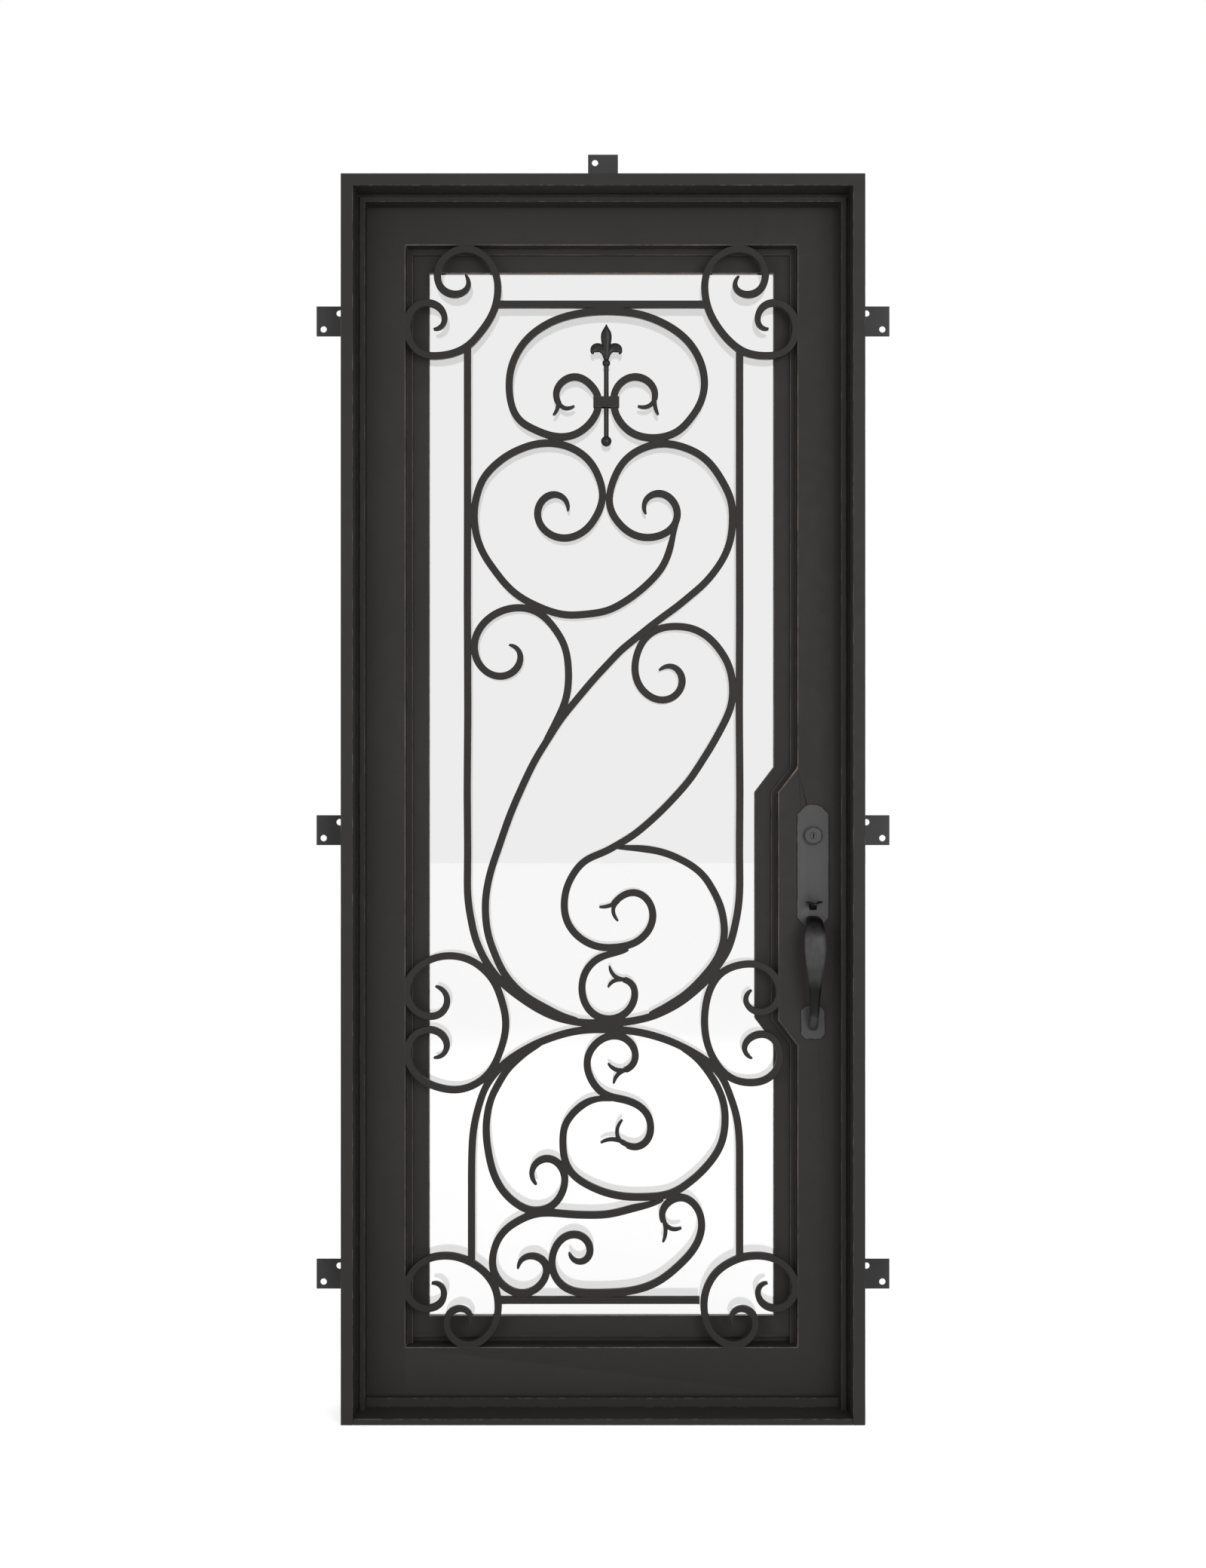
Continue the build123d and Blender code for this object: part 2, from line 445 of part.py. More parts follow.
WAIST_LOWER = [
    (829.3, 1420), (836.1, 1416.1), (841.4, 1408.6), (843, 1399.5), (840, 1389.3), (829, 1378),
    (814.5, 1374.6), (800, 1378.4), (792.1, 1383.9), (785.4, 1391.4), (780.9, 1400.3),
    (779, 1408.8), (779.5, 1417.5), (782.1, 1426.6), (786.8, 1436.4), (793.5, 1445),
    (800, 1450.3), (810, 1455.6), (820, 1457.4), (830, 1459.7), (840, 1463.8), (850, 1469.2),
    (856, 1475), (863, 1497), (858, 1514), (841, 1522), (832, 1519.5)]
WAIST_LOWER_TINES = [
    [(829.3, 1420), (821, 1420.2), (813.5, 1417.5), (806.8, 1411)],
    [(829.3, 1420), (822.5, 1423.5), (817, 1430), (814, 1437.8)],
    [(834, 1520), (822, 1513), (819, 1499), (825.6, 1486)],
    [(834, 1520), (822, 1514), (810, 1511.6), (797, 1516.4)]]
LOWER_ARCH = [
    (625.4, 1672), (625.4, 1640), (625.4, 1600), (625.4, 1560), (625.6, 1540), (625.9, 1530),
    (626.9, 1510), (628, 1500), (629.6, 1490), (631.6, 1480), (634.4, 1470), (637.4, 1460),
    (640.9, 1450), (645.5, 1440), (653, 1429.5), (662, 1418), (673, 1408), (692.3, 1395.2),
    (712.1, 1384.6), (731.6, 1377.1), (760, 1369.1), (800, 1366), (840, 1368.5), (880, 1378.4),
    (890, 1382.1), (898.1, 1385.4), (917.7, 1395.5), (934.4, 1405.6), (947, 1416.5),
    (954, 1424), (959.8, 1432.5), (963.2, 1440), (967.5, 1450), (970.9, 1460), (974.5, 1470),
    (977, 1480), (978.9, 1490), (980.2, 1500), (980.9, 1510), (981.4, 1520), (981.5, 1540),
    (981.5, 1580), (981.5, 1620), (981.5, 1668)]
LOWER_SPIRAL = [
    (813, 1459.8), (801, 1458.2), (790, 1458.9), (780, 1462.3), (770, 1468.6), (760, 1478),
    (752.6, 1488), (748.3, 1497), (747.2, 1512), (747.3, 1527), (750, 1541), (760, 1558.2),
    (779, 1572), (800, 1581.4), (820, 1586.5), (840, 1588.5), (860, 1588.2), (881, 1586),
    (891.7, 1583), (907.6, 1574.2), (913.1, 1570), (925.7, 1560), (935.4, 1550), (943.9, 1540),
    (950.9, 1530), (955.9, 1520), (959.3, 1510), (961.2, 1500), (962, 1490), (962.1, 1480),
    (961.2, 1470), (959.2, 1460), (955.5, 1450), (951, 1440), (943.9, 1428.8), (933.8, 1414.3),
    (924, 1404.5), (912, 1396), (902, 1390.5)]
LOWER_LEFT = [
    (718, 1386), (703, 1393.8), (692.3, 1401.1), (681.7, 1410.3), (670.6, 1422.1),
    (664.3, 1433), (660.4, 1440), (654.8, 1450), (650.6, 1460), (648.2, 1470), (646.3, 1480),
    (645.1, 1490), (644.9, 1500), (645.3, 1510), (646.5, 1520), (650, 1540), (655.9, 1560),
    (660.6, 1570), (667.2, 1580), (673, 1587), (679.7, 1592.9), (690, 1600.3), (698.6, 1604.4),
    (711, 1606.5), (722, 1604.4), (735.4, 1597.8), (743.5, 1586), (749.2, 1568), (746, 1552),
    (738, 1542), (725, 1537.6), (710, 1545), (705.8, 1558), (711.6, 1572)]
SERPENTINE = [
    (880, 1592), (860, 1599), (840, 1603.4), (820, 1608.8), (800, 1612), (780, 1612.3),
    (760, 1611.8), (740, 1610.2), (720, 1609.8), (710, 1611.3), (700, 1614.2), (690, 1619.3),
    (680, 1625), (671.5, 1631.2), (666, 1637.5), (659.5, 1648), (656, 1657.2), (654, 1665.7),
    (653.4, 1675.7), (654.4, 1685), (657.7, 1693.3), (663.3, 1701.4), (670, 1707.4),
    (678.1, 1713), (690, 1716.1), (702.5, 1714.6), (714, 1707.6), (722.1, 1696.4),
    (724.9, 1687.5), (722, 1675), (706, 1667), (692, 1672), (687, 1683.6)]
LOWER_RIGHT = [
    (755, 1662.4), (759, 1670), (770, 1674.4), (780, 1670), (782.4, 1659), (777, 1645),
    (764, 1638.6), (746, 1644), (736, 1658), (732.2, 1676), (735, 1690), (742, 1701.7),
    (753, 1710.4), (760, 1713), (768, 1714.8), (780, 1715.8), (800, 1715.8), (815, 1715.3),
    (830, 1714), (840, 1712.5), (850, 1710), (860, 1706.9), (870, 1702.3), (880, 1696.3),
    (890, 1689), (900, 1679.9), (910, 1670.3), (918.7, 1660), (924.6, 1650), (928.7, 1640),
    (930.6, 1631.4), (930.9, 1624), (928.2, 1610), (924.6, 1603), (917.2, 1594.8),
    (910, 1590.4), (904, 1589.2), (897, 1590.4), (890, 1594.1), (882.9, 1600.5),
    (879.3, 1607), (878.9, 1614.3), (880.6, 1621.4)]
LOWER_RIGHT_TINES = [
    [(880.6, 1620), (882.9, 1630), (882.6, 1639), (879.6, 1648.2)],
    [(880.6, 1620), (885.5, 1627.6), (893, 1631), (899, 1631.3), (904.2, 1629.3)]]
UPPER_BOW = [
    (620.05, 457.6), (620.05, 560), (620.05, 700), (620.05, 850), (620.05, 1000),
    (620.05, 1100), (620.05, 1150), (620.05, 1180), (621.5, 1200), (622.8, 1210),
    (624.9, 1220), (626.7, 1230), (629.1, 1240), (632.3, 1250), (636.6, 1260), (641.3, 1270),
    (646.6, 1279), (655.5, 1291.4), (667.9, 1305.7), (682.7, 1318), (702.5, 1332),
    (722.1, 1343.2), (741.5, 1351), (760.9, 1355.2), (773, 1357), (790, 1357.6), (805, 1357.6),
    (820, 1357), (830, 1356), (839, 1354.7), (849, 1352.8), (858.8, 1350.4), (868.3, 1347.6),
    (878, 1343.3), (887.9, 1338.6), (897.6, 1333.3), (907.3, 1327), (917, 1319.2),
    (926.9, 1310.8), (936.9, 1301.4), (950.4, 1283.9), (955.2, 1277.6), (960.4, 1270),
    (965.6, 1260), (969.6, 1250), (972.4, 1240), (974.9, 1230), (976.9, 1220), (978.9, 1210),
    (980.1, 1200), (981.5, 1180), (981.5, 1150), (981.5, 1100), (981.5, 1000), (981.5, 850),
    (981.5, 700), (981.5, 560), (981.5, 462.3)]
RAIL_TOP = [(657.3, 403.1), (700, 403.1), (800, 403.1), (900, 403.1), (938.5, 403.1)]
RAIL_BOTTOM = [(660.1, 1725.4), (700, 1725.4), (800, 1725.4), (900, 1725.4), (928.2, 1725.4)]
FINIAL_AXIS = 804.4
FINIAL_LOW = 584.7
FINIAL_HIGH = 481.0
COLLAR_MIDDLE = 532.85
LILY_BLADE = [(804.4, 430.3), (807.5, 436), (810, 441), (811.4, 447), (811, 452), (810, 455.7)]
LILY_LOBE = [(810, 455.7), (813.5, 454.6), (817.1, 454.6), (822, 456.8), (825, 461), (825.2, 466),
             (821.7, 470)]
LILY_HOLLOW = [(821.7, 470), (819.3, 468.3), (817, 466.9), (813.5, 467.4), (811.4, 469),
               (809.3, 473), (808.6, 476.5)]


def lite_outline(grow=0.0, foot=0.0, head=0.0):
    """The opening in the leaf with the lock box's jog, drawn in by the given borders."""
    left, right = LITE_LEFT + grow, LITE_RIGHT - grow
    jog = right - LOCK_BOX_REACH
    return outline_of([
        (left, LITE_FOOT + (foot or grow)), (right, LITE_FOOT + (foot or grow)),
        (right, LOCK_BOX_BOTTOM - LOCK_BOX_SLOPE), (jog, LOCK_BOX_BOTTOM),
        (jog, LOCK_BOX_TOP), (right, LOCK_BOX_TOP + LOCK_BOX_SLOPE),
        (right, LITE_TOP - (head or grow)), (left, LITE_TOP - (head or grow))])


def grille():
    """The forged bars, each trimmed where an earlier one or the leaf already stands."""
    whole = BAR_WIDTH
    fork = FORK_WIDTH
    corners = [CORNER_TOP_LEFT, CORNER_TOP_RIGHT, CORNER_BOTTOM_LEFT, CORNER_BOTTOM_RIGHT]
    corner_names = ["top_left", "top_right", "bottom_left", "bottom_right"]
    shapes = {f"corner_scroll_{name}": forged(line) for name, line in zip(corner_names, corners)}
    shapes["grille_rail_top"] = forged(RAIL_TOP, start=whole, end=whole)
    shapes["grille_rail_bottom"] = forged(RAIL_BOTTOM, start=whole, end=whole)
    shapes["upper_bow"] = forged(UPPER_BOW, start=whole, end=whole)
    shapes["lower_arch"] = forged(LOWER_ARCH, start=whole, end=whole)
    shapes["main_scroll"] = forged(MAIN_SCROLL)
    shapes["heart_scroll"] = forged(HEART)
    shapes["crown_scroll"] = forged(CROWN, start=fork, end=fork, tines=CROWN_TINES)
    shapes["branch_scroll_left"] = forged(BRANCH_LEFT)
    shapes["branch_scroll_right"] = forged(BRANCH_RIGHT, start=fork, tines=BRANCH_RIGHT_TINES)
    shapes["ring_scroll"] = forged(RING)
    shapes["waist_scroll_upper"] = forged(WAIST_UPPER, end=fork, tines=WAIST_UPPER_TINES)
    shapes["waist_scroll_lower"] = forged(WAIST_LOWER, start=fork, end=fork, tines=WAIST_LOWER_TINES)
    shapes["lower_spiral"] = forged(LOWER_SPIRAL)
    shapes["lower_scroll_left"] = forged(LOWER_LEFT)
    shapes["serpentine_scroll"] = forged(SERPENTINE)
    shapes["lower_scroll_right"] = forged(LOWER_RIGHT, end=fork, tines=LOWER_RIGHT_TINES)
    shapes["side_scroll_left"] = forged(SIDE_LEFT)
    shapes["side_scroll_right"] = forged(SIDE_RIGHT)
    pieces = {}
    laid = []
    for name, shape in shapes.items():
        trimmed = shape & lite_outline()
        box = trimmed.bounding_box()
        for other in laid:
            if box.overlaps(other.bounding_box()):
                trimmed = trimmed - other
        laid.append(shape)
        pieces[name] = slab(trimmed, LEAF_FRONT, BAR_DEPTH)
    return pieces


def finial():
    """Rod with a ball at each end, the lily on top of it and the collar that holds it."""
    axis_x, low = at(FINIAL_AXIS, FINIAL_LOW)
    high = at(FINIAL_AXIS, FINIAL_HIGH)[1]
    middle = LEAF_FRONT + BAR_DEPTH / 2
    rod = Pos(axis_x, middle, (low + high) / 2) * Cylinder(FINIAL_ROD_RADIUS, high - low)
    rod = rod + Pos(axis_x, middle, low) * Sphere(LOWER_BALL_RADIUS)
    rod = rod + Pos(axis_x, middle, high) * Sphere(UPPER_BALL_RADIUS)
    blade = [at(*point) for point in LILY_BLADE]
    lobe = [at(*point) for point in LILY_LOBE]
    hollow = [at(*point) for point in LILY_HOLLOW]
    foot = (axis_x, hollow[-1][1])
    right = make_face([Spline(*blade), Spline(*lobe), Spline(*hollow), Line(hollow[-1], foot),
                       Line(foot, blade[0])])
    lily = right + Pos(2 * axis_x, 0) * mirror(right, about=Plane.YZ)
    lily = slab(lily, middle - LILY_DEPTH / 2, LILY_DEPTH) - rod
    return rod, lily


def collar(crown, rod):
    """Band round the rod and the crown's two curls."""
    axis_x, middle = at(FINIAL_AXIS, COLLAR_MIDDLE)
    band = block(axis_x - COLLAR_WIDTH / 2, axis_x + COLLAR_WIDTH / 2, LEAF_FRONT - COLLAR_WALL,
                 LEAF_FRONT + BAR_DEPTH + COLLAR_WALL, middle - COLLAR_HEIGHT / 2,
                 middle + COLLAR_HEIGHT / 2)
    return band - crown - rod


def frame_pieces():
    """Jambs, head, sill and the stops that the leaf shuts against."""
    pieces = {}
    pieces["hinge_jamb"] = block(-HALF, -JAMB_FACE, FRAME_FRONT, FRAME_BACK, 0, HEAD_FACE)
    pieces["strike_jamb"] = block(JAMB_FACE, HALF, FRAME_FRONT, FRAME_BACK, 0, HEAD_FACE)
    pieces["head_jamb"] = block(-HALF, HALF, FRAME_FRONT, FRAME_BACK, HEAD_FACE, FRAME_HEIGHT)
    pieces["sill"] = block(-JAMB_FACE, JAMB_FACE, FRAME_FRONT, FRAME_BACK, 0, SILL_THICK)

    def stop_outline(outer):
        """Upside-down U from the given distance off the jambs to the stop's inner edge."""
        edge = JAMB_FACE - outer
        top = HEAD_FACE - outer
        inner = HEAD_FACE - STOP_REACH
        return outline_of([
            (-edge, SILL_THICK), (-edge, top), (edge, top), (edge, SILL_THICK),
            (STOP_FACE, SILL_THICK), (STOP_FACE, inner), (-STOP_FACE, inner),
            (-STOP_FACE, SILL_THICK)])

    proud = slab(stop_outline(STOP_GROOVE_WIDTH), STOP_FRONT, STOP_GROOVE_DEPTH)
    back = slab(stop_outline(0.0), STOP_FRONT + STOP_GROOVE_DEPTH, STOP_DEPTH - STOP_GROOVE_DEPTH)
    pieces["door_stop"] = proud + back
    pieces["sill_stop"] = block(-STOP_FACE, STOP_FACE, STOP_BACK - SILL_STOP_DEPTH, STOP_BACK,
                                SILL_THICK, SILL_THICK + SILL_STOP_HEIGHT)
    return pieces


def tab(centre_x, centre_z, reach_x, reach_z, mirror_holes):
    """Flat strap with two fixing holes on a diagonal."""
    front = FRAME_FRONT + TAB_SETBACK
    strap = block(centre_x - reach_x / 2, centre_x + reach_x / 2, front, front + TAB_THICK,
                  centre_z - reach_z / 2, centre_z + reach_z / 2)
    offset = TAB_HOLE_SPREAD / 2
    for end in (-1, 1):
        hole = round_bar(TAB_HOLE_RADIUS, centre_x + mirror_holes * end * offset,
                         centre_z + end * offset, front, TAB_THICK)
        strap = strap - hole
    return strap


def anchor_tabs():
    """Straps up both jambs and one on the head."""
    out = HALF + TAB_REACH / 2
    hinge_side = [tab(-out, z, TAB_REACH, TAB_WIDTH, 1) for z in TAB_HEIGHTS]
    lock_side = [tab(out, z, TAB_REACH, TAB_WIDTH, -1) for z in TAB_HEIGHTS]
    head = tab(0, FRAME_HEIGHT + HEAD_TAB_REACH / 2, TAB_WIDTH, HEAD_TAB_REACH, -1)
    return {"anchor_tabs_hinge_side": Compound(children=hinge_side),
            "anchor_tabs_lock_side": Compound(children=lock_side),
            "anchor_tab_head": head}


def hinges():
    """Butt hinges on the house side: the jamb's halves, the leaf's halves and the pins."""
    pitch = HINGE_LENGTH / KNUCKLE_COUNT
    jamb_halves, leaf_halves, pins = [], [], []
    for height in HINGE_HEIGHTS:
        foot = height - HINGE_LENGTH / 2
        plate_front = LEAF_BACK - HINGE_PLATE_DEPTH
        jamb_half = block(-JAMB_FACE - HINGE_PLATE_THICK, -JAMB_FACE, plate_front, LEAF_BACK,
                          foot, foot + HINGE_LENGTH)
        leaf_half = block(-LEAF_HALF, -LEAF_HALF + HINGE_PLATE_THICK, plate_front, LEAF_BACK,
                          foot, foot + HINGE_LENGTH)
        for index in range(KNUCKLE_COUNT):
            low = foot + index * pitch + (KNUCKLE_CLEAR / 2 if index else 0)
            last = index == KNUCKLE_COUNT - 1
            high = foot + (index + 1) * pitch - (0 if last else KNUCKLE_CLEAR / 2)
            at_axis = Pos(HINGE_X, HINGE_Y, (low + high) / 2)
            knuckle = at_axis * Cylinder(KNUCKLE_RADIUS, high - low)
            on_leaf = index % 2 == 1
            bore = PIN_RADIUS + (PIN_CLEAR if on_leaf else 0)
            hole = at_axis * Cylinder(bore, high - low)
            side = -LEAF_HALF if on_leaf else -JAMB_FACE - HINGE_PLATE_THICK
            arm = block(side, side + HINGE_PLATE_THICK, LEAF_BACK, HINGE_Y, low, high)
            if on_leaf:
                leaf_half = leaf_half + (knuckle + arm - hole)
            else:
                jamb_half = jamb_half + (knuckle + arm - hole)
        shaft = Pos(HINGE_X, HINGE_Y, height) * Cylinder(PIN_RADIUS, HINGE_LENGTH)
        cap = Pos(HINGE_X, HINGE_Y, height + (HINGE_LENGTH + PIN_HEAD_HEIGHT) / 2)
        pins.append(shaft + cap * Cylinder(PIN_HEAD_RADIUS, PIN_HEAD_HEIGHT))
        jamb_halves.append(jamb_half)
        leaf_halves.append(leaf_half)
    return {"hinge_halves_on_jamb": Compound(children=jamb_halves),
            "hinge_halves_on_leaf": Compound(children=leaf_halves),
            "hinge_pins": Compound(children=pins)}


def hinge_mortise(edge):
    """Pockets that let the hinge plates lie flush in a jamb or stile."""
    front = LEAF_BACK - HINGE_PLATE_DEPTH
    return [block(edge, edge + HINGE_PLATE_THICK, front, LEAF_BACK, height - HINGE_LENGTH / 2,
                  height + HINGE_LENGTH / 2) for height in HINGE_HEIGHTS]


def plate_outline():
    """Long plate with an arched head and foot between small shoulders."""
    half = PLATE_WIDTH / 2
    arch = half - PLATE_NOTCH
    top, foot = PLATE_TOP, PLATE_BOTTOM
    high, low = top - PLATE_SHOULDER, foot + PLATE_SHOULDER
    edges = [
        Line((half, low), (half, high)),
        Line((half, high), (arch, high + PLATE_NOTCH)),
        ThreePointArc((arch, high + PLATE_NOTCH), (0, top), (-arch, high + PLATE_NOTCH)),
        Line((-arch, high + PLATE_NOTCH), (-half, high)),
        Line((-half, high), (-half, low)),
        Line((-half, low), (-arch, low - PLATE_NOTCH)),
        ThreePointArc((-arch, low - PLATE_NOTCH), (0, foot), (arch, low - PLATE_NOTCH)),
        Line((arch, low - PLATE_NOTCH), (half, low))]
    return Pos(HANDLE_X, 0) * make_face(edges)


def thumb_space():
    """Slot and pocket that the thumb lever swings in."""
    wide = THUMB_NECK_WIDTH / 2 + THUMB_CLEAR
    low = THUMB_HEIGHT - THUMB_THICK / 2 - THUMB_CLEAR - THUMB_DROP
    high = THUMB_HEIGHT + THUMB_THICK / 2 + THUMB_CLEAR + THUMB_DROP
    back = LEAF_FRONT + THUMB_PIVOT_DEPTH + THUMB_TAIL + THUMB_CLEAR
    return block(HANDLE_X - wide, HANDLE_X + wide, PLATE_FRONT, back, low, high)


def thumb_pin(clear=0.0):
    """Cross pin that the thumb lever turns on."""
    length = THUMB_PIVOT_LENGTH + 2 * clear
    return (Pos(HANDLE_X, LEAF_FRONT + THUMB_PIVOT_DEPTH, THUMB_HEIGHT)
            * Rot(0, 90, 0) * Cylinder(THUMB_PIVOT_RADIUS + clear, length))


def thumb_lever():
    """Neck through the plate, dished paddle outside it and tail inside the stile."""
    nose = PLATE_FRONT - THUMB_REACH
    under = THUMB_HEIGHT - THUMB_THICK / 2
    over = THUMB_HEIGHT + THUMB_THICK / 2
    start = PLATE_FRONT - THUMB_DROP
    top = [(start, over), ((start + nose) / 2, over + THUMB_DISH_RISE),
           (nose + THUMB_THICK, under + THUMB_NOSE)]
    lip = [(nose + THUMB_THICK, under + THUMB_NOSE), (nose, under + THUMB_LIP_HEIGHT),
           (nose + THUMB_LIP_RETURN, under)]
    side = make_face([Spline(*top), Spline(*lip), Line(lip[-1], (start, under)),
                      Line((start, under), (start, over))])
    across = Plane(origin=(HANDLE_X - THUMB_WIDTH / 2, 0, 0), x_dir=(0, 1, 0), z_dir=(1, 0, 0))
    paddle = extrude(across * side, amount=THUMB_WIDTH)
    plan = Pos(HANDLE_X, (nose + start) / 2) * RectangleRounded(THUMB_WIDTH, start - nose, THUMB_CORNER)
    paddle = paddle & extrude(Pos(0, 0, under - CUT_OVER) * plan, amount=THUMB_NOSE + 2 * CUT_OVER)
    back = LEAF_FRONT + THUMB_PIVOT_DEPTH + THUMB_TAIL
    neck = block(HANDLE_X - THUMB_NECK_WIDTH / 2, HANDLE_X + THUMB_NECK_WIDTH / 2,
                 start - THUMB_NECK_LAP, back, under, over)
    return paddle + neck + thumb_pin()


def plug_space(clear):
    """Cylinder of the key plug, grown by the given clearance."""
    front = PLATE_FRONT - CYLINDER_REACH
    return round_bar(PLUG_RADIUS + clear, HANDLE_X, CYLINDER_HEIGHT, front, PLUG_LENGTH + clear)


def pull_grip():
    """Bowed grip, broad under the thumb and narrow at its foot."""
    foot_front = LEAF_FRONT - BASE_THICK

    def from_top(shares, back, reach):
        """Points given by a share of the reach and a drop below the grip's top."""
        return [(back - share * reach, GRIP_TOP - drop * GRIP_LENGTH) for share, drop in shares]

    def from_foot(shares, back, reach):
        """Points given by a share of the reach and a rise above the grip's foot."""
        return [(back - share * reach, GRIP_FOOT + rise * GRIP_LENGTH) for share, rise in shares]

    outer = from_top(GRIP_OUTER_TOP, PLATE_FRONT, GRIP_REACH)
    outer = outer + from_foot(GRIP_OUTER_FOOT, foot_front, GRIP_REACH)
    inner = from_foot(GRIP_INNER_FOOT, foot_front, GRIP_REACH)
    inner = inner + from_top(GRIP_INNER_TOP, PLATE_FRONT, GRIP_REACH)
    side = make_face([Spline(*outer), Line(outer[-1], inner[0]), Spline(*inner),
                      Line(inner[-1], outer[0])])
    across = Plane(origin=(HANDLE_X - GRIP_WIDEST, 0, 0), x_dir=(0, 1, 0), z_dir=(1, 0, 0))
    bow = extrude(across * side, amount=2 * GRIP_WIDEST)
    edge = from_top(GRIP_FACE_TOP, 0.0, -GRIP_WIDEST / 2)
    edge = edge + from_foot(GRIP_FACE_FOOT, 0.0, -GRIP_NARROW / 2)
    other = [(-x, z) for x, z in reversed(edge)]
    face = make_face([Spline(*edge), Line(edge[-1], other[0]), Spline(*other),
                      Line(other[-1], edge[0])])
    return bow & slab(Pos(HANDLE_X, 0) * face, PLATE_FRONT - 2 * GRIP_REACH, 3 * GRIP_REACH)


def base_outline():
    """Small plate under the grip's foot, with cut corners."""
    half, cut = BASE_WIDTH / 2, BASE_CHAMFER
    points = [(half, BASE_BOTTOM + cut), (half, BASE_TOP - cut), (half - cut, BASE_TOP),
              (cut - half, BASE_TOP), (-half, BASE_TOP - cut), (-half, BASE_BOTTOM + cut),
              (cut - half, BASE_BOTTOM), (half - cut, BASE_BOTTOM)]
    return Pos(HANDLE_X, 0) * outline_of(points)


def turned(profile, height):
    """Round fitting on the house side, turned from its radius at each distance off the leaf."""
    edge = [(0, 0)] + profile + [(0, profile[-1][1])]
    face = make_face(Polyline(*edge, close=True))
    spin = Plane(origin=(HANDLE_X, INSIDE_PLATE_BACK, height), x_dir=(1, 0, 0), z_dir=(0, 0, 1))
    return revolve(spin * face, axis=Axis((HANDLE_X, INSIDE_PLATE_BACK, height), (0, 1, 0)))


def handle_pieces():
    """Outside handle set and the plain fittings on the house side."""
    pieces = {}
    plate = slab(plate_outline(), PLATE_FRONT, PLATE_THICK)
    pieces["handle_plate"] = plate - plug_space(PLUG_CLEAR) - thumb_space()
    ring_front = PLATE_FRONT - CYLINDER_REACH
    ring = round_bar(CYLINDER_RADIUS, HANDLE_X, CYLINDER_HEIGHT, ring_front, CYLINDER_REACH)
    ring = chamfer(ring.edges().sort_by(Axis.Y)[0], CYLINDER_BEVEL)
    pieces["cylinder_ring"] = ring - plug_space(PLUG_CLEAR)
    keyway = block(HANDLE_X - KEYWAY_WIDTH / 2, HANDLE_X + KEYWAY_WIDTH / 2, ring_front,
                   ring_front + KEYWAY_DEPTH, CYLINDER_HEIGHT - KEYWAY_HEIGHT / 2,
                   CYLINDER_HEIGHT + KEYWAY_HEIGHT / 2)
    pieces["key_plug"] = plug_space(0.0) - keyway
    pieces["thumb_lever"] = thumb_lever()
    pieces["pull_grip"] = pull_grip()
    pieces["grip_base"] = slab(base_outline(), LEAF_FRONT - BASE_THICK, BASE_THICK)
    pieces["inside_plate"] = slab(plate_outline(), LEAF_BACK, PLATE_THICK)
    head = [(share * KNOB_RADIUS, run * KNOB_REACH) for share, run in KNOB_HEAD]
    pieces["inside_knob"] = turned([
        (KNOB_ROSE_RADIUS, 0), (KNOB_ROSE_RADIUS, KNOB_ROSE_THICK), (KNOB_NECK_RADIUS, KNOB_NECK_START),
        (KNOB_NECK_RADIUS, KNOB_REACH / 2)] + head, KNOB_HEIGHT)
    turn = turned([(TURN_RADIUS, 0), (TURN_RADIUS, TURN_ROSE_THICK), (TURN_THICK, TURN_ROSE_CROWN)],
                  CYLINDER_HEIGHT)
    wing = block(HANDLE_X - TURN_THICK / 2, HANDLE_X + TURN_THICK / 2, INSIDE_PLATE_BACK + TURN_LAP,
                 INSIDE_PLATE_BACK + TURN_REACH, CYLINDER_HEIGHT - TURN_LENGTH / 2,
                 CYLINDER_HEIGHT + TURN_LENGTH / 2)
    pieces["inside_thumbturn"] = turn + wing
    return pieces


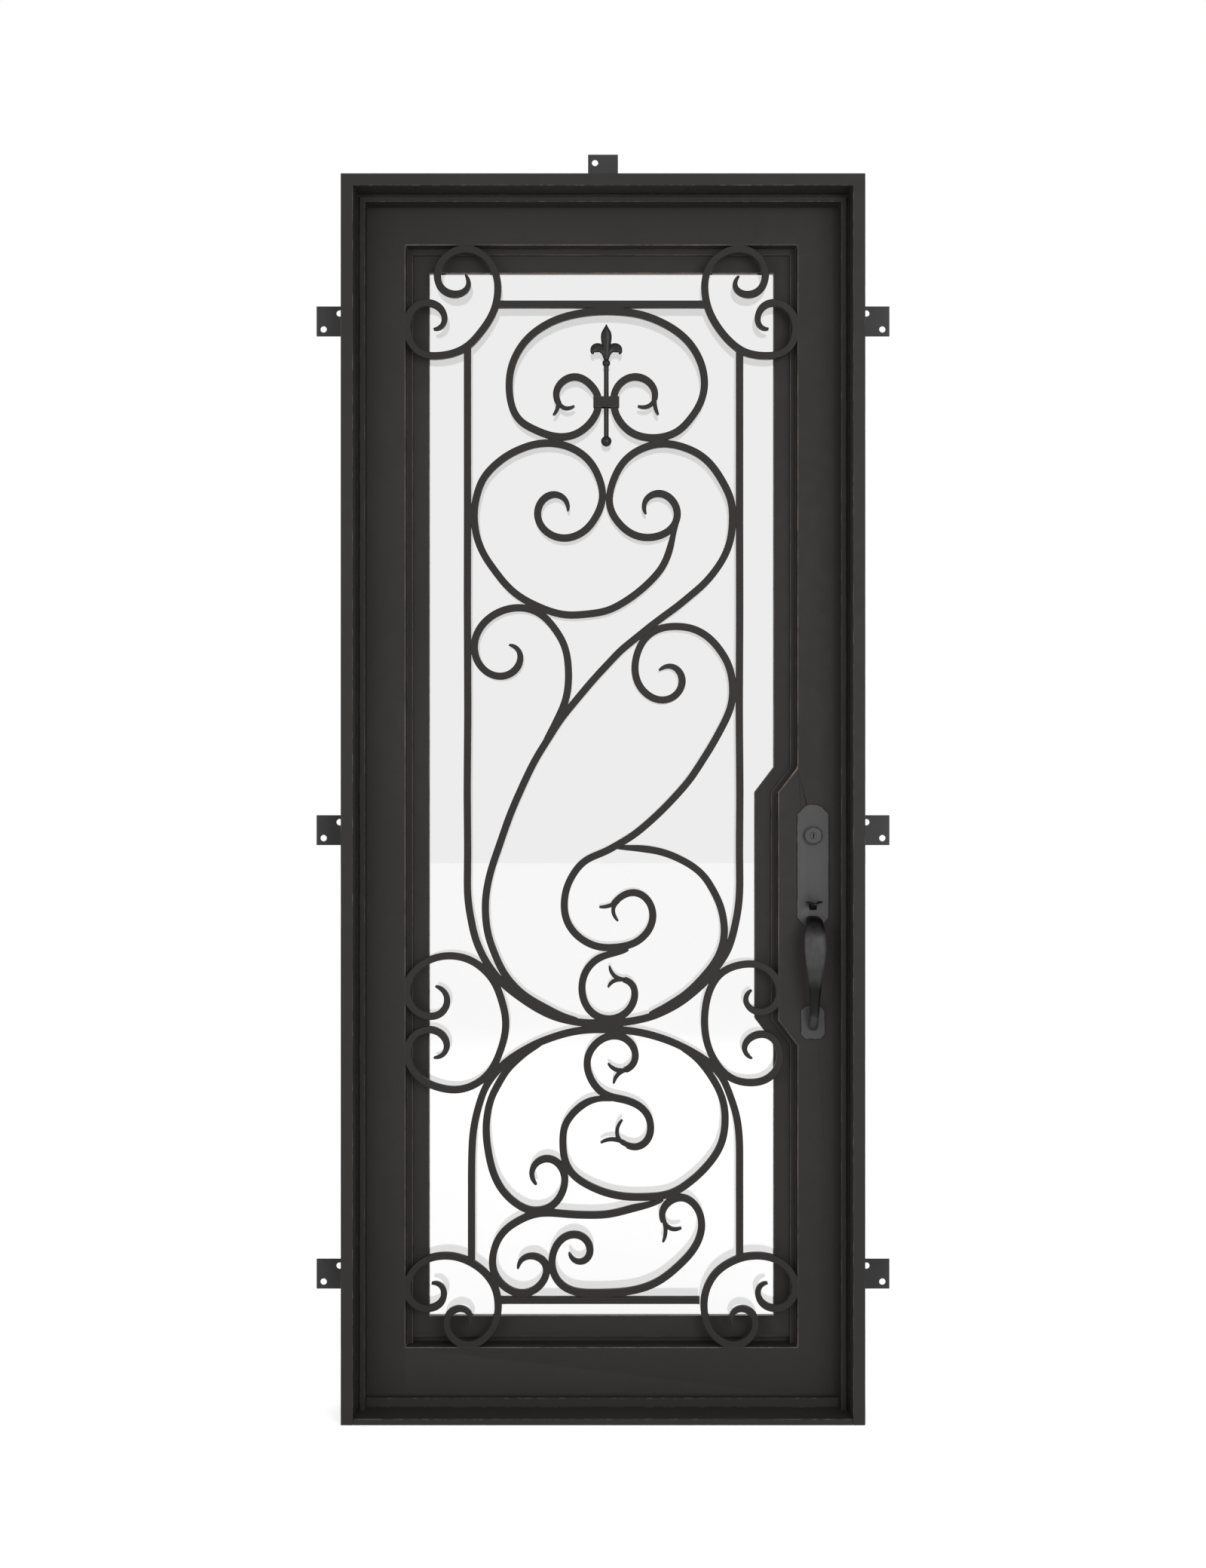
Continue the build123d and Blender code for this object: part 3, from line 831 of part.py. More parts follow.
def leaf_pieces():
    """Stiles, rails and the glazing held between them."""
    pieces = {}
    stile = block(-LEAF_HALF, LITE_LEFT, LEAF_FRONT, LEAF_BACK, LEAF_FOOT, LEAF_TOP)
    for pocket in hinge_mortise(-LEAF_HALF):
        stile = stile - pocket
    pieces["hinge_stile"] = stile
    box_edge = LITE_RIGHT - LOCK_BOX_REACH
    lock = slab(outline_of([
        (LEAF_HALF, LEAF_FOOT), (LEAF_HALF, LEAF_TOP), (LITE_RIGHT, LEAF_TOP),
        (LITE_RIGHT, LOCK_BOX_TOP + LOCK_BOX_SLOPE), (box_edge, LOCK_BOX_TOP),
        (box_edge, LOCK_BOX_BOTTOM), (LITE_RIGHT, LOCK_BOX_BOTTOM - LOCK_BOX_SLOPE),
        (LITE_RIGHT, LEAF_FOOT)]), LEAF_FRONT, LEAF_THICK)
    past = LEAF_HALF + CUT_OVER
    wedge = outline_of([(LEAF_HALF - LOCK_BEVEL, LEAF_FRONT), (past, LEAF_FRONT),
                        (past, LEAF_BACK), (LEAF_HALF, LEAF_BACK)])
    lock = lock - extrude(wedge, amount=FRAME_HEIGHT)
    middle = (LEAF_FRONT + LEAF_BACK) / 2
    mortise = block(LEAF_HALF - LOCK_BEVEL - FACEPLATE_THICK, past,
                    middle - FACEPLATE_WIDTH / 2, middle + FACEPLATE_WIDTH / 2,
                    KNOB_HEIGHT - FACEPLATE_HEIGHT / 2, KNOB_HEIGHT + FACEPLATE_HEIGHT / 2)
    pieces["lock_faceplate"] = lock & mortise
    lock = lock - mortise - plug_space(PLUG_CLEAR) - thumb_space() - thumb_pin(PIN_CLEAR)
    pieces["lock_stile"] = lock
    pieces["top_rail"] = block(LITE_LEFT, LITE_RIGHT, LEAF_FRONT, LEAF_BACK, LITE_TOP, LEAF_TOP)
    pieces["bottom_rail"] = block(LITE_LEFT, LITE_RIGHT, LEAF_FRONT, LEAF_BACK, LEAF_FOOT, LITE_FOOT)
    open_foot = -2 * SASH_FOOT_CLEAR
    strip = lite_outline() - lite_outline(GLAZING_STOP_WIDTH, foot=open_foot)
    pieces["glazing_stop"] = slab(strip, GLAZING_FRONT, GLAZING_STOP_THICK)
    outer = lite_outline(SASH_CLEAR, foot=SASH_FOOT_CLEAR)
    sight = lite_outline(SASH_BORDER, foot=SASH_FOOT_BORDER, head=SASH_HEAD_BORDER)
    seat = lite_outline(SASH_BORDER - GLASS_REBATE, foot=SASH_FOOT_BORDER - GLASS_REBATE,
                        head=SASH_HEAD_BORDER - GLASS_REBATE)
    flange = lite_outline(-SASH_FLANGE)
    sash_back = SASH_FRONT + SASH_THICK
    sash = slab(outer - sight, SASH_FRONT, SASH_LIP)
    sash = sash + slab(outer - seat, GLASS_FRONT, LEAF_BACK - GLASS_FRONT)
    sash = sash + slab(flange - seat, LEAF_BACK, sash_back - LEAF_BACK)
    pieces["glass_sash"] = sash
    pieces["glass"] = slab(seat, GLASS_FRONT, GLASS_THICK)
    pieces["glass_bead"] = slab(seat - sight, GLASS_FRONT + GLASS_THICK, BEAD_THICK)
    return pieces


def strike():
    """Plate let into the lock-side jamb, with a mouth for the latch and one for the bolt."""
    middle = (LEAF_FRONT + LEAF_BACK) / 2
    heights = (KNOB_HEIGHT, CYLINDER_HEIGHT)
    plates, pockets = [], []
    for height in heights:
        seat = block(JAMB_FACE, JAMB_FACE + FACEPLATE_THICK, middle - STRIKE_WIDTH / 2,
                     middle + STRIKE_WIDTH / 2, height - STRIKE_HEIGHT / 2, height + STRIKE_HEIGHT / 2)
        mouth = block(JAMB_FACE, JAMB_FACE + STRIKE_HOLE_DEPTH, middle - STRIKE_HOLE_WIDTH / 2,
                      middle + STRIKE_HOLE_WIDTH / 2, height - STRIKE_HOLE_HEIGHT / 2,
                      height + STRIKE_HOLE_HEIGHT / 2)
        plates.append(seat - mouth)
        pockets.append(seat + mouth)
    return plates, pockets


def door():
    """Every piece of the door and its frame, by name."""
    pieces = frame_pieces()
    plates, pockets = strike()
    for pocket in pockets:
        pieces["strike_jamb"] = pieces["strike_jamb"] - pocket
    for pocket in hinge_mortise(-JAMB_FACE - HINGE_PLATE_THICK):
        pieces["hinge_jamb"] = pieces["hinge_jamb"] - pocket
    pieces["strike_plates"] = Compound(children=plates)
    pieces.update(anchor_tabs())
    pieces.update(hinges())
    pieces.update(leaf_pieces())
    bars = grille()
    rod, lily = finial()
    pieces.update(bars)
    pieces["finial_rod"] = rod
    pieces["finial_lily"] = lily - bars["crown_scroll"]
    pieces["finial_collar"] = collar(bars["crown_scroll"], rod)
    pieces.update(handle_pieces())
    return pieces


os.makedirs("parts", exist_ok=True)
for node, solid in door().items():
    export_step(solid, f"parts/{node}.step")
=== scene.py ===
"""Looks of a forged iron entry door in its frame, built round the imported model.

Lengths are metres in the model's own frame: X from the hinge side to the lock side, Y from the
street into the house, Z up from the foot of the frame.
"""

import logging
import math
from dataclasses import dataclass, field
from enum import Enum
from typing import Optional, Sequence

import bmesh
import bpy
import numpy as np
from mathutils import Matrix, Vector
from mathutils.geometry import delaunay_2d_cdt

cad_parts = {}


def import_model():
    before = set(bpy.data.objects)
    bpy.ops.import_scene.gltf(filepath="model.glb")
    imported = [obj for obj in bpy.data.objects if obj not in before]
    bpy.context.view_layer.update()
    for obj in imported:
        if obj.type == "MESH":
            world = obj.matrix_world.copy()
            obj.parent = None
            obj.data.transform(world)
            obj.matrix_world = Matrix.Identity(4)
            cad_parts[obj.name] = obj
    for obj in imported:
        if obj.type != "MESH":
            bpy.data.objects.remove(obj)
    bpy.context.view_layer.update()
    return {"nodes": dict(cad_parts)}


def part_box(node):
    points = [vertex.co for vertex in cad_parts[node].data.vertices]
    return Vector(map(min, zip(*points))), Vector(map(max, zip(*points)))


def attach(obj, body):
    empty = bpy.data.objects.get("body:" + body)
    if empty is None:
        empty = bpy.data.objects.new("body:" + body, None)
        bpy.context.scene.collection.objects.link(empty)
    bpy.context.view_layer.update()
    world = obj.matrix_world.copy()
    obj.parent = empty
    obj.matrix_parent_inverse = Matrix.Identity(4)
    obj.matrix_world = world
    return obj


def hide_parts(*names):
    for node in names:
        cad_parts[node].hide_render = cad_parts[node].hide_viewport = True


LOG = logging.getLogger("door")
MM = 0.001
WELD_DISTANCE = 0.00001
FLAT_ANGLE = math.radians(0.6)
CORNER_ANGLE = math.radians(32.0)
# A rounded edge is gone this near to a welded bar, and whole again after the fade
CONTACT = 0.0006
FADE = 0.0060
THINNEST_EDGE = 0.012 * MM
EDGE_SHARE = 0.55
EASED_STEPS = 2

# Spacing of points: round a bar's outline, on the targets of a distance and along an edge that fades
OUTLINE_STEP = 4 * MM
OUTLINE_TURN = 0.14
LONG_STRAIGHT = 25 * MM
TARGET_STEP = 0.8 * MM
FADE_STEP = 6 * MM

# Marks per metre of the noises in the finishes
PATCHES = 2.4
MOTTLES = 34.0
HILLS = 60.0
GRAINS = 900.0

# Glass bends light this much and mirrors this share of what meets it straight on
GLASS_IOR = 1.5
STRAIGHT_ON = 0.04

Colour = tuple[float, float, float]
Socket = bpy.types.NodeSocket


class Body(Enum):
    """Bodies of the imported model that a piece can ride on."""

    FRAME = "frame"
    LEAF = "door_leaf"
    LATCH = "thumb_latch"
    KEY = "key_cylinder"


class Slot(Enum):
    """Material slots of the record."""

    FRAME = "frame_iron"
    LEAF = "leaf_iron"
    GRILLE = "grille_iron"
    HANDLE = "handle_metal"
    HINGE = "hinge_metal"
    TAB = "tab_steel"
    GLASS = "glass"


class Graph:
    """Adds shader nodes to one new material or world and joins them."""

    def __init__(self, name: str, world: bool = False) -> None:
        """Makes an empty material or world.

        Args:
            name: Its name.
            world: True for a world.
        """
        self.owner = (bpy.data.worlds if world else bpy.data.materials).new(name)
        self.owner.use_nodes = True
        self.output = "ShaderNodeOutputWorld" if world else "ShaderNodeOutputMaterial"
        self.tree = self.owner.node_tree
        self.tree.nodes.clear()

    def add(self, kind: str, **settings: object) -> bpy.types.Node:
        """Adds one node.

        Args:
            kind: Blender's name for the node type.
            settings: Node properties to set.

        Returns:
            The new node.
        """
        node = self.tree.nodes.new(kind)
        for key, value in settings.items():
            setattr(node, key, value)
        return node

    def feed(self, socket: Socket, value: object) -> None:
        """Sets an input socket from another socket or from a plain value.

        Args:
            socket: Input to set.
            value: Output socket, number or colour.
        """
        if isinstance(value, bpy.types.NodeSocket):
            self.tree.links.new(value, socket)
        elif isinstance(value, tuple) and len(value) == 3 and socket.type == "RGBA":
            socket.default_value = (*value, 1.0)
        else:
            socket.default_value = value

    def place(self) -> Socket:
        """Object coordinates, which are metres in the model's frame."""
        return self.add("ShaderNodeTexCoord").outputs["Object"]

    def stretched(self, place: Socket, scale: tuple[float, float, float]) -> Socket:
        """Coordinates scaled differently along each axis, for drawn-out marks.

        Args:
            place: Coordinates to scale.
            scale: Factor along X, Y and Z.

        Returns:
            The scaled coordinates.
        """
        node = self.add("ShaderNodeVectorMath", operation="MULTIPLY")
        self.feed(node.inputs[0], place)
        node.inputs[1].default_value = scale
        return node.outputs["Vector"]

    def noise(self, place: Socket, scale: float, detail: float, rough: float = 0.55) -> Socket:
        """Cloudy noise.

        Args:
            place: Coordinates.
            scale: Marks per metre.
            detail: Number of finer layers.
            rough: Share of the finer layers.

        Returns:
            A value around one half.
        """
        node = self.add("ShaderNodeTexNoise")
        self.feed(node.inputs["Vector"], place)
        node.inputs["Scale"].default_value = scale
        node.inputs["Detail"].default_value = detail
        node.inputs["Roughness"].default_value = rough
        return node.outputs["Fac"]

    def span(self, value: Socket, low: float, high: float, start: float = 0.0, end: float = 1.0) -> Socket:
        """Maps a value between two limits to another range, clamped.

        Args:
            value: Value to map.
            low: Value that gives start.
            high: Value that gives end.
            start: Result at low.
            end: Result at high.

        Returns:
            The mapped value.
        """
        node = self.add("ShaderNodeMapRange")
        self.feed(node.inputs["Value"], value)
        for key, number in (("From Min", low), ("From Max", high), ("To Min", start), ("To Max", end)):
            node.inputs[key].default_value = number
        return node.outputs["Result"]

    def join(self, operation: str, first: Socket, second: object, clamp: bool = False) -> Socket:
        """Joins two values by one operation.

        Args:
            operation: Name of the operation, such as MULTIPLY.
            first: First value.
            second: Second value or number.
            clamp: True to keep the result between 0 and 1.

        Returns:
            The result.
        """
        node = self.add("ShaderNodeMath", operation=operation, use_clamp=clamp)
        self.feed(node.inputs[0], first)
        self.feed(node.inputs[1], second)
        return node.outputs["Value"]

    def seen(self) -> Socket:
        """Tells what the eye meets from the light that falls on the door.

        Returns:
            1 for a ray from the camera, in a mirror image or through glass, otherwise 0.
        """
        way = self.add("ShaderNodeLightPath").outputs
        result = self.join("MAXIMUM", way["Is Camera Ray"], way["Is Glossy Ray"])
        return self.join("MAXIMUM", result, way["Is Transmission Ray"])

    def blend(self, share: object, first: object, second: object) -> Socket:
        """Mixes two colours.

        Args:
            share: Share of the second colour.
            first: First colour.
            second: Second colour.

        Returns:
            The mixed colour.
        """
        node = self.add("ShaderNodeMix", data_type="RGBA")
        self.feed(node.inputs["Factor"], share)
        self.feed(node.inputs[6], first)
        self.feed(node.inputs[7], second)
        return node.outputs[2]

    def mixed(self, share: Socket, first: bpy.types.Node, second: bpy.types.Node) -> bpy.types.Node:
        """Mixes the first outputs of two shader nodes.

        Args:
            share: Share of the second shader.
            first: First shader.
            second: Second shader.

        Returns:
            The mixing node.
        """
        node = self.add("ShaderNodeMixShader")
        for socket, value in zip(node.inputs, (share, first.outputs[0], second.outputs[0])):
            self.feed(socket, value)
        return node

    def bump(self, height: Socket, depth: float, under: Optional[Socket] = None) -> Socket:
        """Normal of a surface with small hills.

        Args:
            height: Height from 0 to 1.
            depth: Height of a whole hill in metres.
            under: Normal to build on.

        Returns:
            The normal.
        """
        node = self.add("ShaderNodeBump")
        node.inputs["Distance"].default_value = depth
        self.feed(node.inputs["Height"], height)
        if under is not None:
            self.feed(node.inputs["Normal"], under)
        return node.outputs["Normal"]

    def near_edge(self, radius: float) -> Socket:
        """How near a point lies to a sharp edge of its own piece.

        The shading normal rounded over the radius is compared with the face's own normal: their
        dot product is 1 on open faces and falls towards an edge.

        Args:
            radius: Reach of the edge's influence in metres.

        Returns:
            A value from 0 on open faces to 1 on an edge.
        """
        rounded = self.add("ShaderNodeBevel", samples=6)
        rounded.inputs["Radius"].default_value = radius
        dot = self.add("ShaderNodeVectorMath", operation="DOT_PRODUCT")
        self.feed(dot.inputs[0], rounded.outputs["Normal"])
        self.feed(dot.inputs[1], self.add("ShaderNodeNewGeometry").outputs["True Normal"])
        return self.span(dot.outputs["Value"], 1.0, 0.8)

    def principled(self, colour: Socket, rough: Socket, normal: Socket,
                   **levels: float) -> bpy.types.Material:
        """Closes the graph with one all-round shader.

        Args:
            colour: Base colour.
            rough: Roughness.
            normal: Normal.
            levels: Numbers that are the same all over, by the socket's name with underscores.

        Returns:
            The finished material.
        """
        shader = self.add("ShaderNodeBsdfPrincipled")
        for key, value in (("Base Color", colour), ("Roughness", rough), ("Normal", normal)):
            self.feed(shader.inputs[key], value)
        for key, level in levels.items():
            shader.inputs[key.replace("_", " ")].default_value = level
        return self.close(shader)

    def close(self, shader: bpy.types.Node) -> bpy.types.ID:
        """Joins the last shader to the output.

        Args:
            shader: Final shader node.

        Returns:
            The finished material or world.
        """
        self.feed(self.add(self.output).inputs["Surface"], shader.outputs[0])
        return self.owner


@dataclass(frozen=True)
class PaintFinish:
    """Hand-rubbed dark paint over iron, with patches, mottling, a fine grain and rubbed edges.

    Attributes:
        name: Name of the material.
        base: Linear colour of the paint.
        drift: Colour that it drifts to in broad patches.
        rub: Colour of the rubbed bronze on eased edges.
        halo: Colour beside a rubbed edge.
        rub_share: Share of the eased edge that is rubbed through, from 0 to 1.
        gloss: Roughness where the paint is shiniest and where it is dullest.
        specular: Strength of the clear reflection.
        metallic: Share of bare metal in the look.
        grain: Depth of the fine grain in metres.
        hammer: Depth of the broad unevenness in metres.
    """

    name: str
    base: Colour
    drift: Colour
    rub: Colour
    halo: Colour
    rub_share: float
    gloss: tuple[float, float]
    specular: float
    metallic: float = 0.0
    grain: float = 0.00006
    hammer: float = 0.0003

    def build(self, worn: bool = False) -> bpy.types.Material:
        """Makes the material.

        Args:
            worn: True for the eased edges, which show the rubbed colour.

        Returns:
            The material.
        """
        graph = Graph(self.name + ("_rubbed" if worn else ""))
        place = graph.place()
        patch = graph.noise(place, PATCHES, 3.0)
        mottle = graph.noise(place, MOTTLES, 5.0)
        grain = graph.noise(place, GRAINS, 2.0)
        colour = graph.blend(graph.span(patch, 0.35, 0.68), self.base, self.drift)
        colour = graph.blend(graph.span(mottle, 0.35, 0.75, 0.0, 0.5), colour, self.drift)
        edge = graph.near_edge(0.004)
        broken = graph.span(graph.noise(place, 21.0, 6.0, 0.65), 0.36, 0.62, 0.25, 1.0)
        glow = graph.join("MULTIPLY", graph.join("MULTIPLY", edge, broken), 0.5 * self.rub_share)
        colour = graph.blend(glow, colour, self.halo)
        if worn:
            streak = graph.noise(graph.stretched(place, (1.0, 1.0, 0.35)), 95.0, 5.0, 0.6)
            rubbed = graph.span(streak, 0.6 - 0.35 * self.rub_share, 0.72 - 0.3 * self.rub_share)
            colour = graph.blend(graph.join("MULTIPLY", rubbed, broken), colour, self.rub)
        broad = graph.bump(graph.noise(place, HILLS, 2.0), self.hammer)
        return graph.principled(colour, graph.span(mottle, 0.3, 0.72, *self.gloss),
                                graph.bump(grain, self.grain, broad), Metallic=self.metallic,
                                Specular_IOR_Level=self.specular)


@dataclass(frozen=True)
class ShadeBandedBronze:
    """Dark bronze that hands have rubbed lighter where they rest.

    Attributes:
        name: Name of the material.
        dark: Linear colour of the painted shade, and of the darker mottling.
        light: Linear colour of the bronze where no shade is painted.
        bands: Heights in metres and how far the painted shade is lifted there, from 0 for full painted shade to 1
            for the bronze colour.
        specular: Strength of the clear reflection.
        fray: Farthest that a band's edge strays, in metres.
    """

    name: str
    dark: Colour
    light: Colour
    bands: tuple[tuple[float, float], ...]
    specular: float
    fray: float = 4 * MM

    def build(self) -> bpy.types.Material:
        """Makes the material. Smooth ramps join the bands, and noise frays them.

        Returns:
            The material.
        """
        graph = Graph(self.name)
        place = graph.place()
        parts = graph.add("ShaderNodeSeparateXYZ")
        graph.feed(parts.inputs["Vector"], place)
        fray = graph.span(graph.noise(place, 70.0, 5.0), 0.3, 0.7, -self.fray, self.fray)
        height = graph.join("ADD", parts.outputs["Z"], fray)
        low, high = self.bands[0][0], self.bands[-1][0]
        ramp = graph.add("ShaderNodeValToRGB")
        ramp.color_ramp.interpolation = "EASE"
        for index, (level, share) in enumerate(self.bands):
            spot = (level - low) / (high - low)
            stop = ramp.color_ramp.elements[index] if index < 2 else ramp.color_ramp.elements.new(spot)
            stop.position = spot
            stop.color = (share, share, share, 1.0)
        graph.feed(ramp.inputs["Fac"], graph.span(height, low, high))
        mottle = graph.noise(place, 55.0, 5.0)
        # Painted shade: the ramp by height blends from the dark colour to the bronze colour, standing in for
        # shade and dark reflections on the top end and the narrow lower part
        colour = graph.blend(ramp.outputs["Color"], self.dark, self.light)
        colour = graph.blend(graph.span(mottle, 0.4, 0.75, 0.0, 0.35), colour, self.dark)
        return graph.principled(colour, graph.span(mottle, 0.3, 0.7, 0.3, 0.4),
                                graph.bump(graph.noise(place, GRAINS, 2.0), 0.02 * MM),
                                Specular_IOR_Level=self.specular)


@dataclass(frozen=True)
class GlassFinish:
    """Clear pane that mirrors what stands in front of it and lets the rest through.

    Attributes:
        name: Name of the material.
        tint: Colour of the light that passes.
        mirror: Share of light mirrored straight back.
        blur: Roughness of the mirror image.
    """

    name: str
    tint: Colour
    mirror: float
    blur: float

    def build(self) -> bpy.types.Material:
        """Makes the material. Only faces met from outside tint and mirror, so the pane counts once.

        Returns:
            The material.
        """
        graph = Graph(self.name)
        place = graph.place()
        wave = graph.noise(place, 3.0, 2.0)
        film = graph.noise(place, 14.0, 6.0)
        passing = graph.add("ShaderNodeBsdfTransparent")
        graph.feed(passing.inputs["Color"], self.tint)
        mirror = graph.add("ShaderNodeBsdfGlossy")
        graph.feed(mirror.inputs["Roughness"], graph.span(film, 0.3, 0.7, self.blur * 0.6, self.blur * 1.4))
        graph.feed(mirror.inputs["Normal"], graph.bump(wave, 0.0004))
        grazing = graph.add("ShaderNodeFresnel")
        grazing.inputs["IOR"].default_value = GLASS_IOR
        share = graph.join("ADD", grazing.outputs["Fac"], self.mirror - STRAIGHT_ON, True)
        clear = graph.add("ShaderNodeBsdfTransparent")
        inside = graph.join("MAXIMUM", graph.add("ShaderNodeNewGeometry").outputs["Backfacing"],
                            graph.add("ShaderNodeLightPath").outputs["Is Shadow Ray"])
        return graph.close(graph.mixed(inside, graph.mixed(share, passing, mirror), clear))


@dataclass(frozen=True)
class RubberFinish:
    """Matt black rubber of the seals, also used as painted shade inside the key plug's keyway.

    Attributes:
        name: Name of the material.
        base: Linear colour.
        dusty: Colour that it drifts to where dust lies.
    """

    name: str
    base: Colour
    dusty: Colour = (0.05, 0.048, 0.046)

    def build(self) -> bpy.types.Material:
        """Makes the material, dusty in patches.

        Returns:
            The material.
        """
        graph = Graph(self.name)
        place = graph.place()
        dust = graph.span(graph.noise(place, 30.0, 6.0), 0.45, 0.8, 0.0, 0.5)
        return graph.principled(graph.blend(dust, self.base, self.dusty),
                                graph.span(dust, 0.0, 0.5, 0.62, 0.85),
                                graph.bump(graph.noise(place, 700.0, 2.0), 0.04 * MM))


IRON = PaintFinish("iron_paint", (0.0235, 0.0213, 0.0206), (0.029, 0.0258, 0.0245), (0.15, 0.115, 0.098),
                   (0.062, 0.047, 0.041), 0.9, (0.5, 0.64), 0.15)
FRAME_IRON = PaintFinish("frame_paint", (0.0225, 0.0205, 0.0199), (0.027, 0.0243, 0.0232),
                         (0.10, 0.083, 0.074), (0.034, 0.0295, 0.0275), 0.35, (0.5, 0.64), 0.15)
BAR_IRON = PaintFinish("forged_paint", (0.0205, 0.0187, 0.0179), (0.0255, 0.0228, 0.0216),
                       (0.082, 0.07, 0.063), (0.03, 0.0265, 0.0248), 0.6, (0.46, 0.6), 0.15, hammer=0.0005)
BRONZE = PaintFinish("handle_bronze", (0.041, 0.0398, 0.0404), (0.058, 0.056, 0.0565),
                     (0.17, 0.16, 0.155), (0.075, 0.071, 0.07), 0.4, (0.32, 0.42), 0.22,
                     grain=0.00003, hammer=0.0001)
Finish = PaintFinish | ShadeBandedBronze | GlassFinish | RubberFinish
# Painted shade on the grip: dark bands near the top end and across the narrow lower part stand in for shade and
# mirrored darkness; the broad middle and the foot keep the bronze colour
GRIP_BRONZE_PAINTED_SHADE = ShadeBandedBronze("grip_bronze_painted_shade", (0.0055, 0.0052, 0.005), (0.058, 0.0565, 0.0565),
                            ((0.755, 1.0), (0.782, 1.0), (0.8, 0.1), (0.842, 0.0), (0.872, 0.7), (0.9, 1.0),
                             (0.944, 1.0), (0.962, 0.25), (0.972, 0.0), (0.99, 0.0)), 0.12)
# Dark forged paint of the lily and the rod; on the thumb paddle and its neck it is painted shade, for the
# darkness mirrored in their top faces
LILY_IRON_AND_THUMB_SHADE = PaintFinish("lily_paint_and_thumb_shade", (0.008, 0.0073, 0.007), (0.012, 0.011, 0.0107), (0.12, 0.105, 0.095),
                        (0.024, 0.0215, 0.02), 0.5, (0.24, 0.34), 0.26, grain=0.00003, hammer=0.0001)
HINGE_STEEL = PaintFinish("hinge_steel", (0.026, 0.0245, 0.024), (0.034, 0.031, 0.03), (0.16, 0.15, 0.14),
                          (0.06, 0.055, 0.05), 0.5, (0.4, 0.55), 0.3, 0.2, grain=0.00004, hammer=0.0001)
STRAP_STEEL = PaintFinish("strap_steel", (0.036, 0.035, 0.0353), (0.062, 0.0595, 0.06), (0.09, 0.085, 0.082),
                          (0.06, 0.057, 0.056), 0.4, (0.55, 0.7), 0.15)
PANE = GlassFinish("pane", (0.86, 0.86, 0.86), 0.24, 0.03)
SEAL_AND_KEYWAY_SHADE = RubberFinish("seal_rubber_and_keyway_shade", (0.012, 0.012, 0.012))


def curve_at(points: Sequence[Sequence[float]], at: np.ndarray) -> np.ndarray:
    """Places on a smooth curve through the given points.

    Each stretch is a cubic whose slopes are the central differences by chord length.

    Args:
        points: Points of any dimension.
        at: Distances along the chords.

    Returns:
        One row for each distance.
    """
    given = np.asarray(points, float)
    run = np.concatenate([[0.0], np.cumsum(np.linalg.norm(np.diff(given, axis=0), axis=1))])
    slope = np.gradient(given, run, axis=0)
    low = np.clip(np.searchsorted(run, at, side="right") - 1, 0, len(given) - 2)
    step = (run[low + 1] - run[low])[:, None]
    t = (at[:, None] - run[low][:, None]) / step
    stay, move = 2 * t**3 - 3 * t**2 + 1, t**3 - 2 * t**2 + t
    come, turn = -2 * t**3 + 3 * t**2, t**3 - t**2
    return stay * given[low] + move * step * slope[low] + come * given[low + 1] + turn * step * slope[low + 1]


def smooth_line(points: Sequence[Sequence[float]], count: int) -> np.ndarray:
    """Evenly spread places, as many as the count, on a smooth curve through the given points."""
    length = np.sum(np.linalg.norm(np.diff(np.asarray(points, float), axis=0), axis=1))
    return curve_at(points, np.linspace(0.0, length, count))


def circle(count: int, squareness: tuple[float, float] = (1.0, 1.0)) -> tuple[np.ndarray, np.ndarray]:
    """Cosines and sines of a full turn in even steps.

    Each is raised to a power with its sign kept: under 1 the circle swells towards a square, over 1
    it is pinched to a ridge.

    Args:
        count: Number of steps.
        squareness: Power of the cosine and of the sine.

    Returns:
        The cosines and the sines.
    """
    angle = np.linspace(0.0, 2 * np.pi, count, endpoint=False)
    cos, sin = np.cos(angle), np.sin(angle)
    return np.sign(cos) * np.abs(cos) ** squareness[0], np.sign(sin) * np.abs(sin) ** squareness[1]


def swept(line: np.ndarray, half: np.ndarray) -> np.ndarray:
    """Points square to a flat line, at the given distances from each of its points.

    Args:
        line: Two places in each row.
        half: Distances, one row for each point of the line.

    Returns:
        Array of the line's points by the distances by 2.
    """
    way = np.gradient(line, axis=0)
    way /= np.linalg.norm(way, axis=1)[:, None]
    across = np.stack([-way[:, 1], way[:, 0]], axis=-1)
    return line[:, None] + across[:, None] * half[..., None]


def middle_of(node: str) -> tuple[float, ...]:
    """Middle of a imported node's box."""
    return tuple((low + high) / 2 for low, high in zip(*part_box(node)))


def grid_object(name: str, x: np.ndarray, y: np.ndarray, z: np.ndarray) -> bpy.types.Object:
    """Closed tube of quads from rings of points, with one face over each end.

    Args:
        name: Name of the object.
        x: Places along X, rings by points; each ring closes on itself.
        y: Places along Y, of that shape or one that spreads to it.
        z: Heights, likewise.

    Returns:
        The object, smooth-shaded and linked to the scene.
    """
    grid = np.stack(np.broadcast_arrays(x, y, z), axis=-1)
    rings, points = grid.shape[:2]
    row, col = np.meshgrid(np.arange(rings - 1), np.arange(points), indexing="ij")
    after = (col + 1) % points
    quads = np.stack([row * points + col, row * points + after, (row + 1) * points + after,
                      (row + 1) * points + col], axis=-1).reshape(-1, 4).tolist()
    quads.append(list(range(points))[::-1])
    quads.append(list(range((rings - 1) * points, rings * points)))
    mesh = bpy.data.meshes.new(name)
    mesh.from_pydata(grid.reshape(-1, 3).tolist(), [], quads)
    outward(mesh)
    return link(name, mesh)


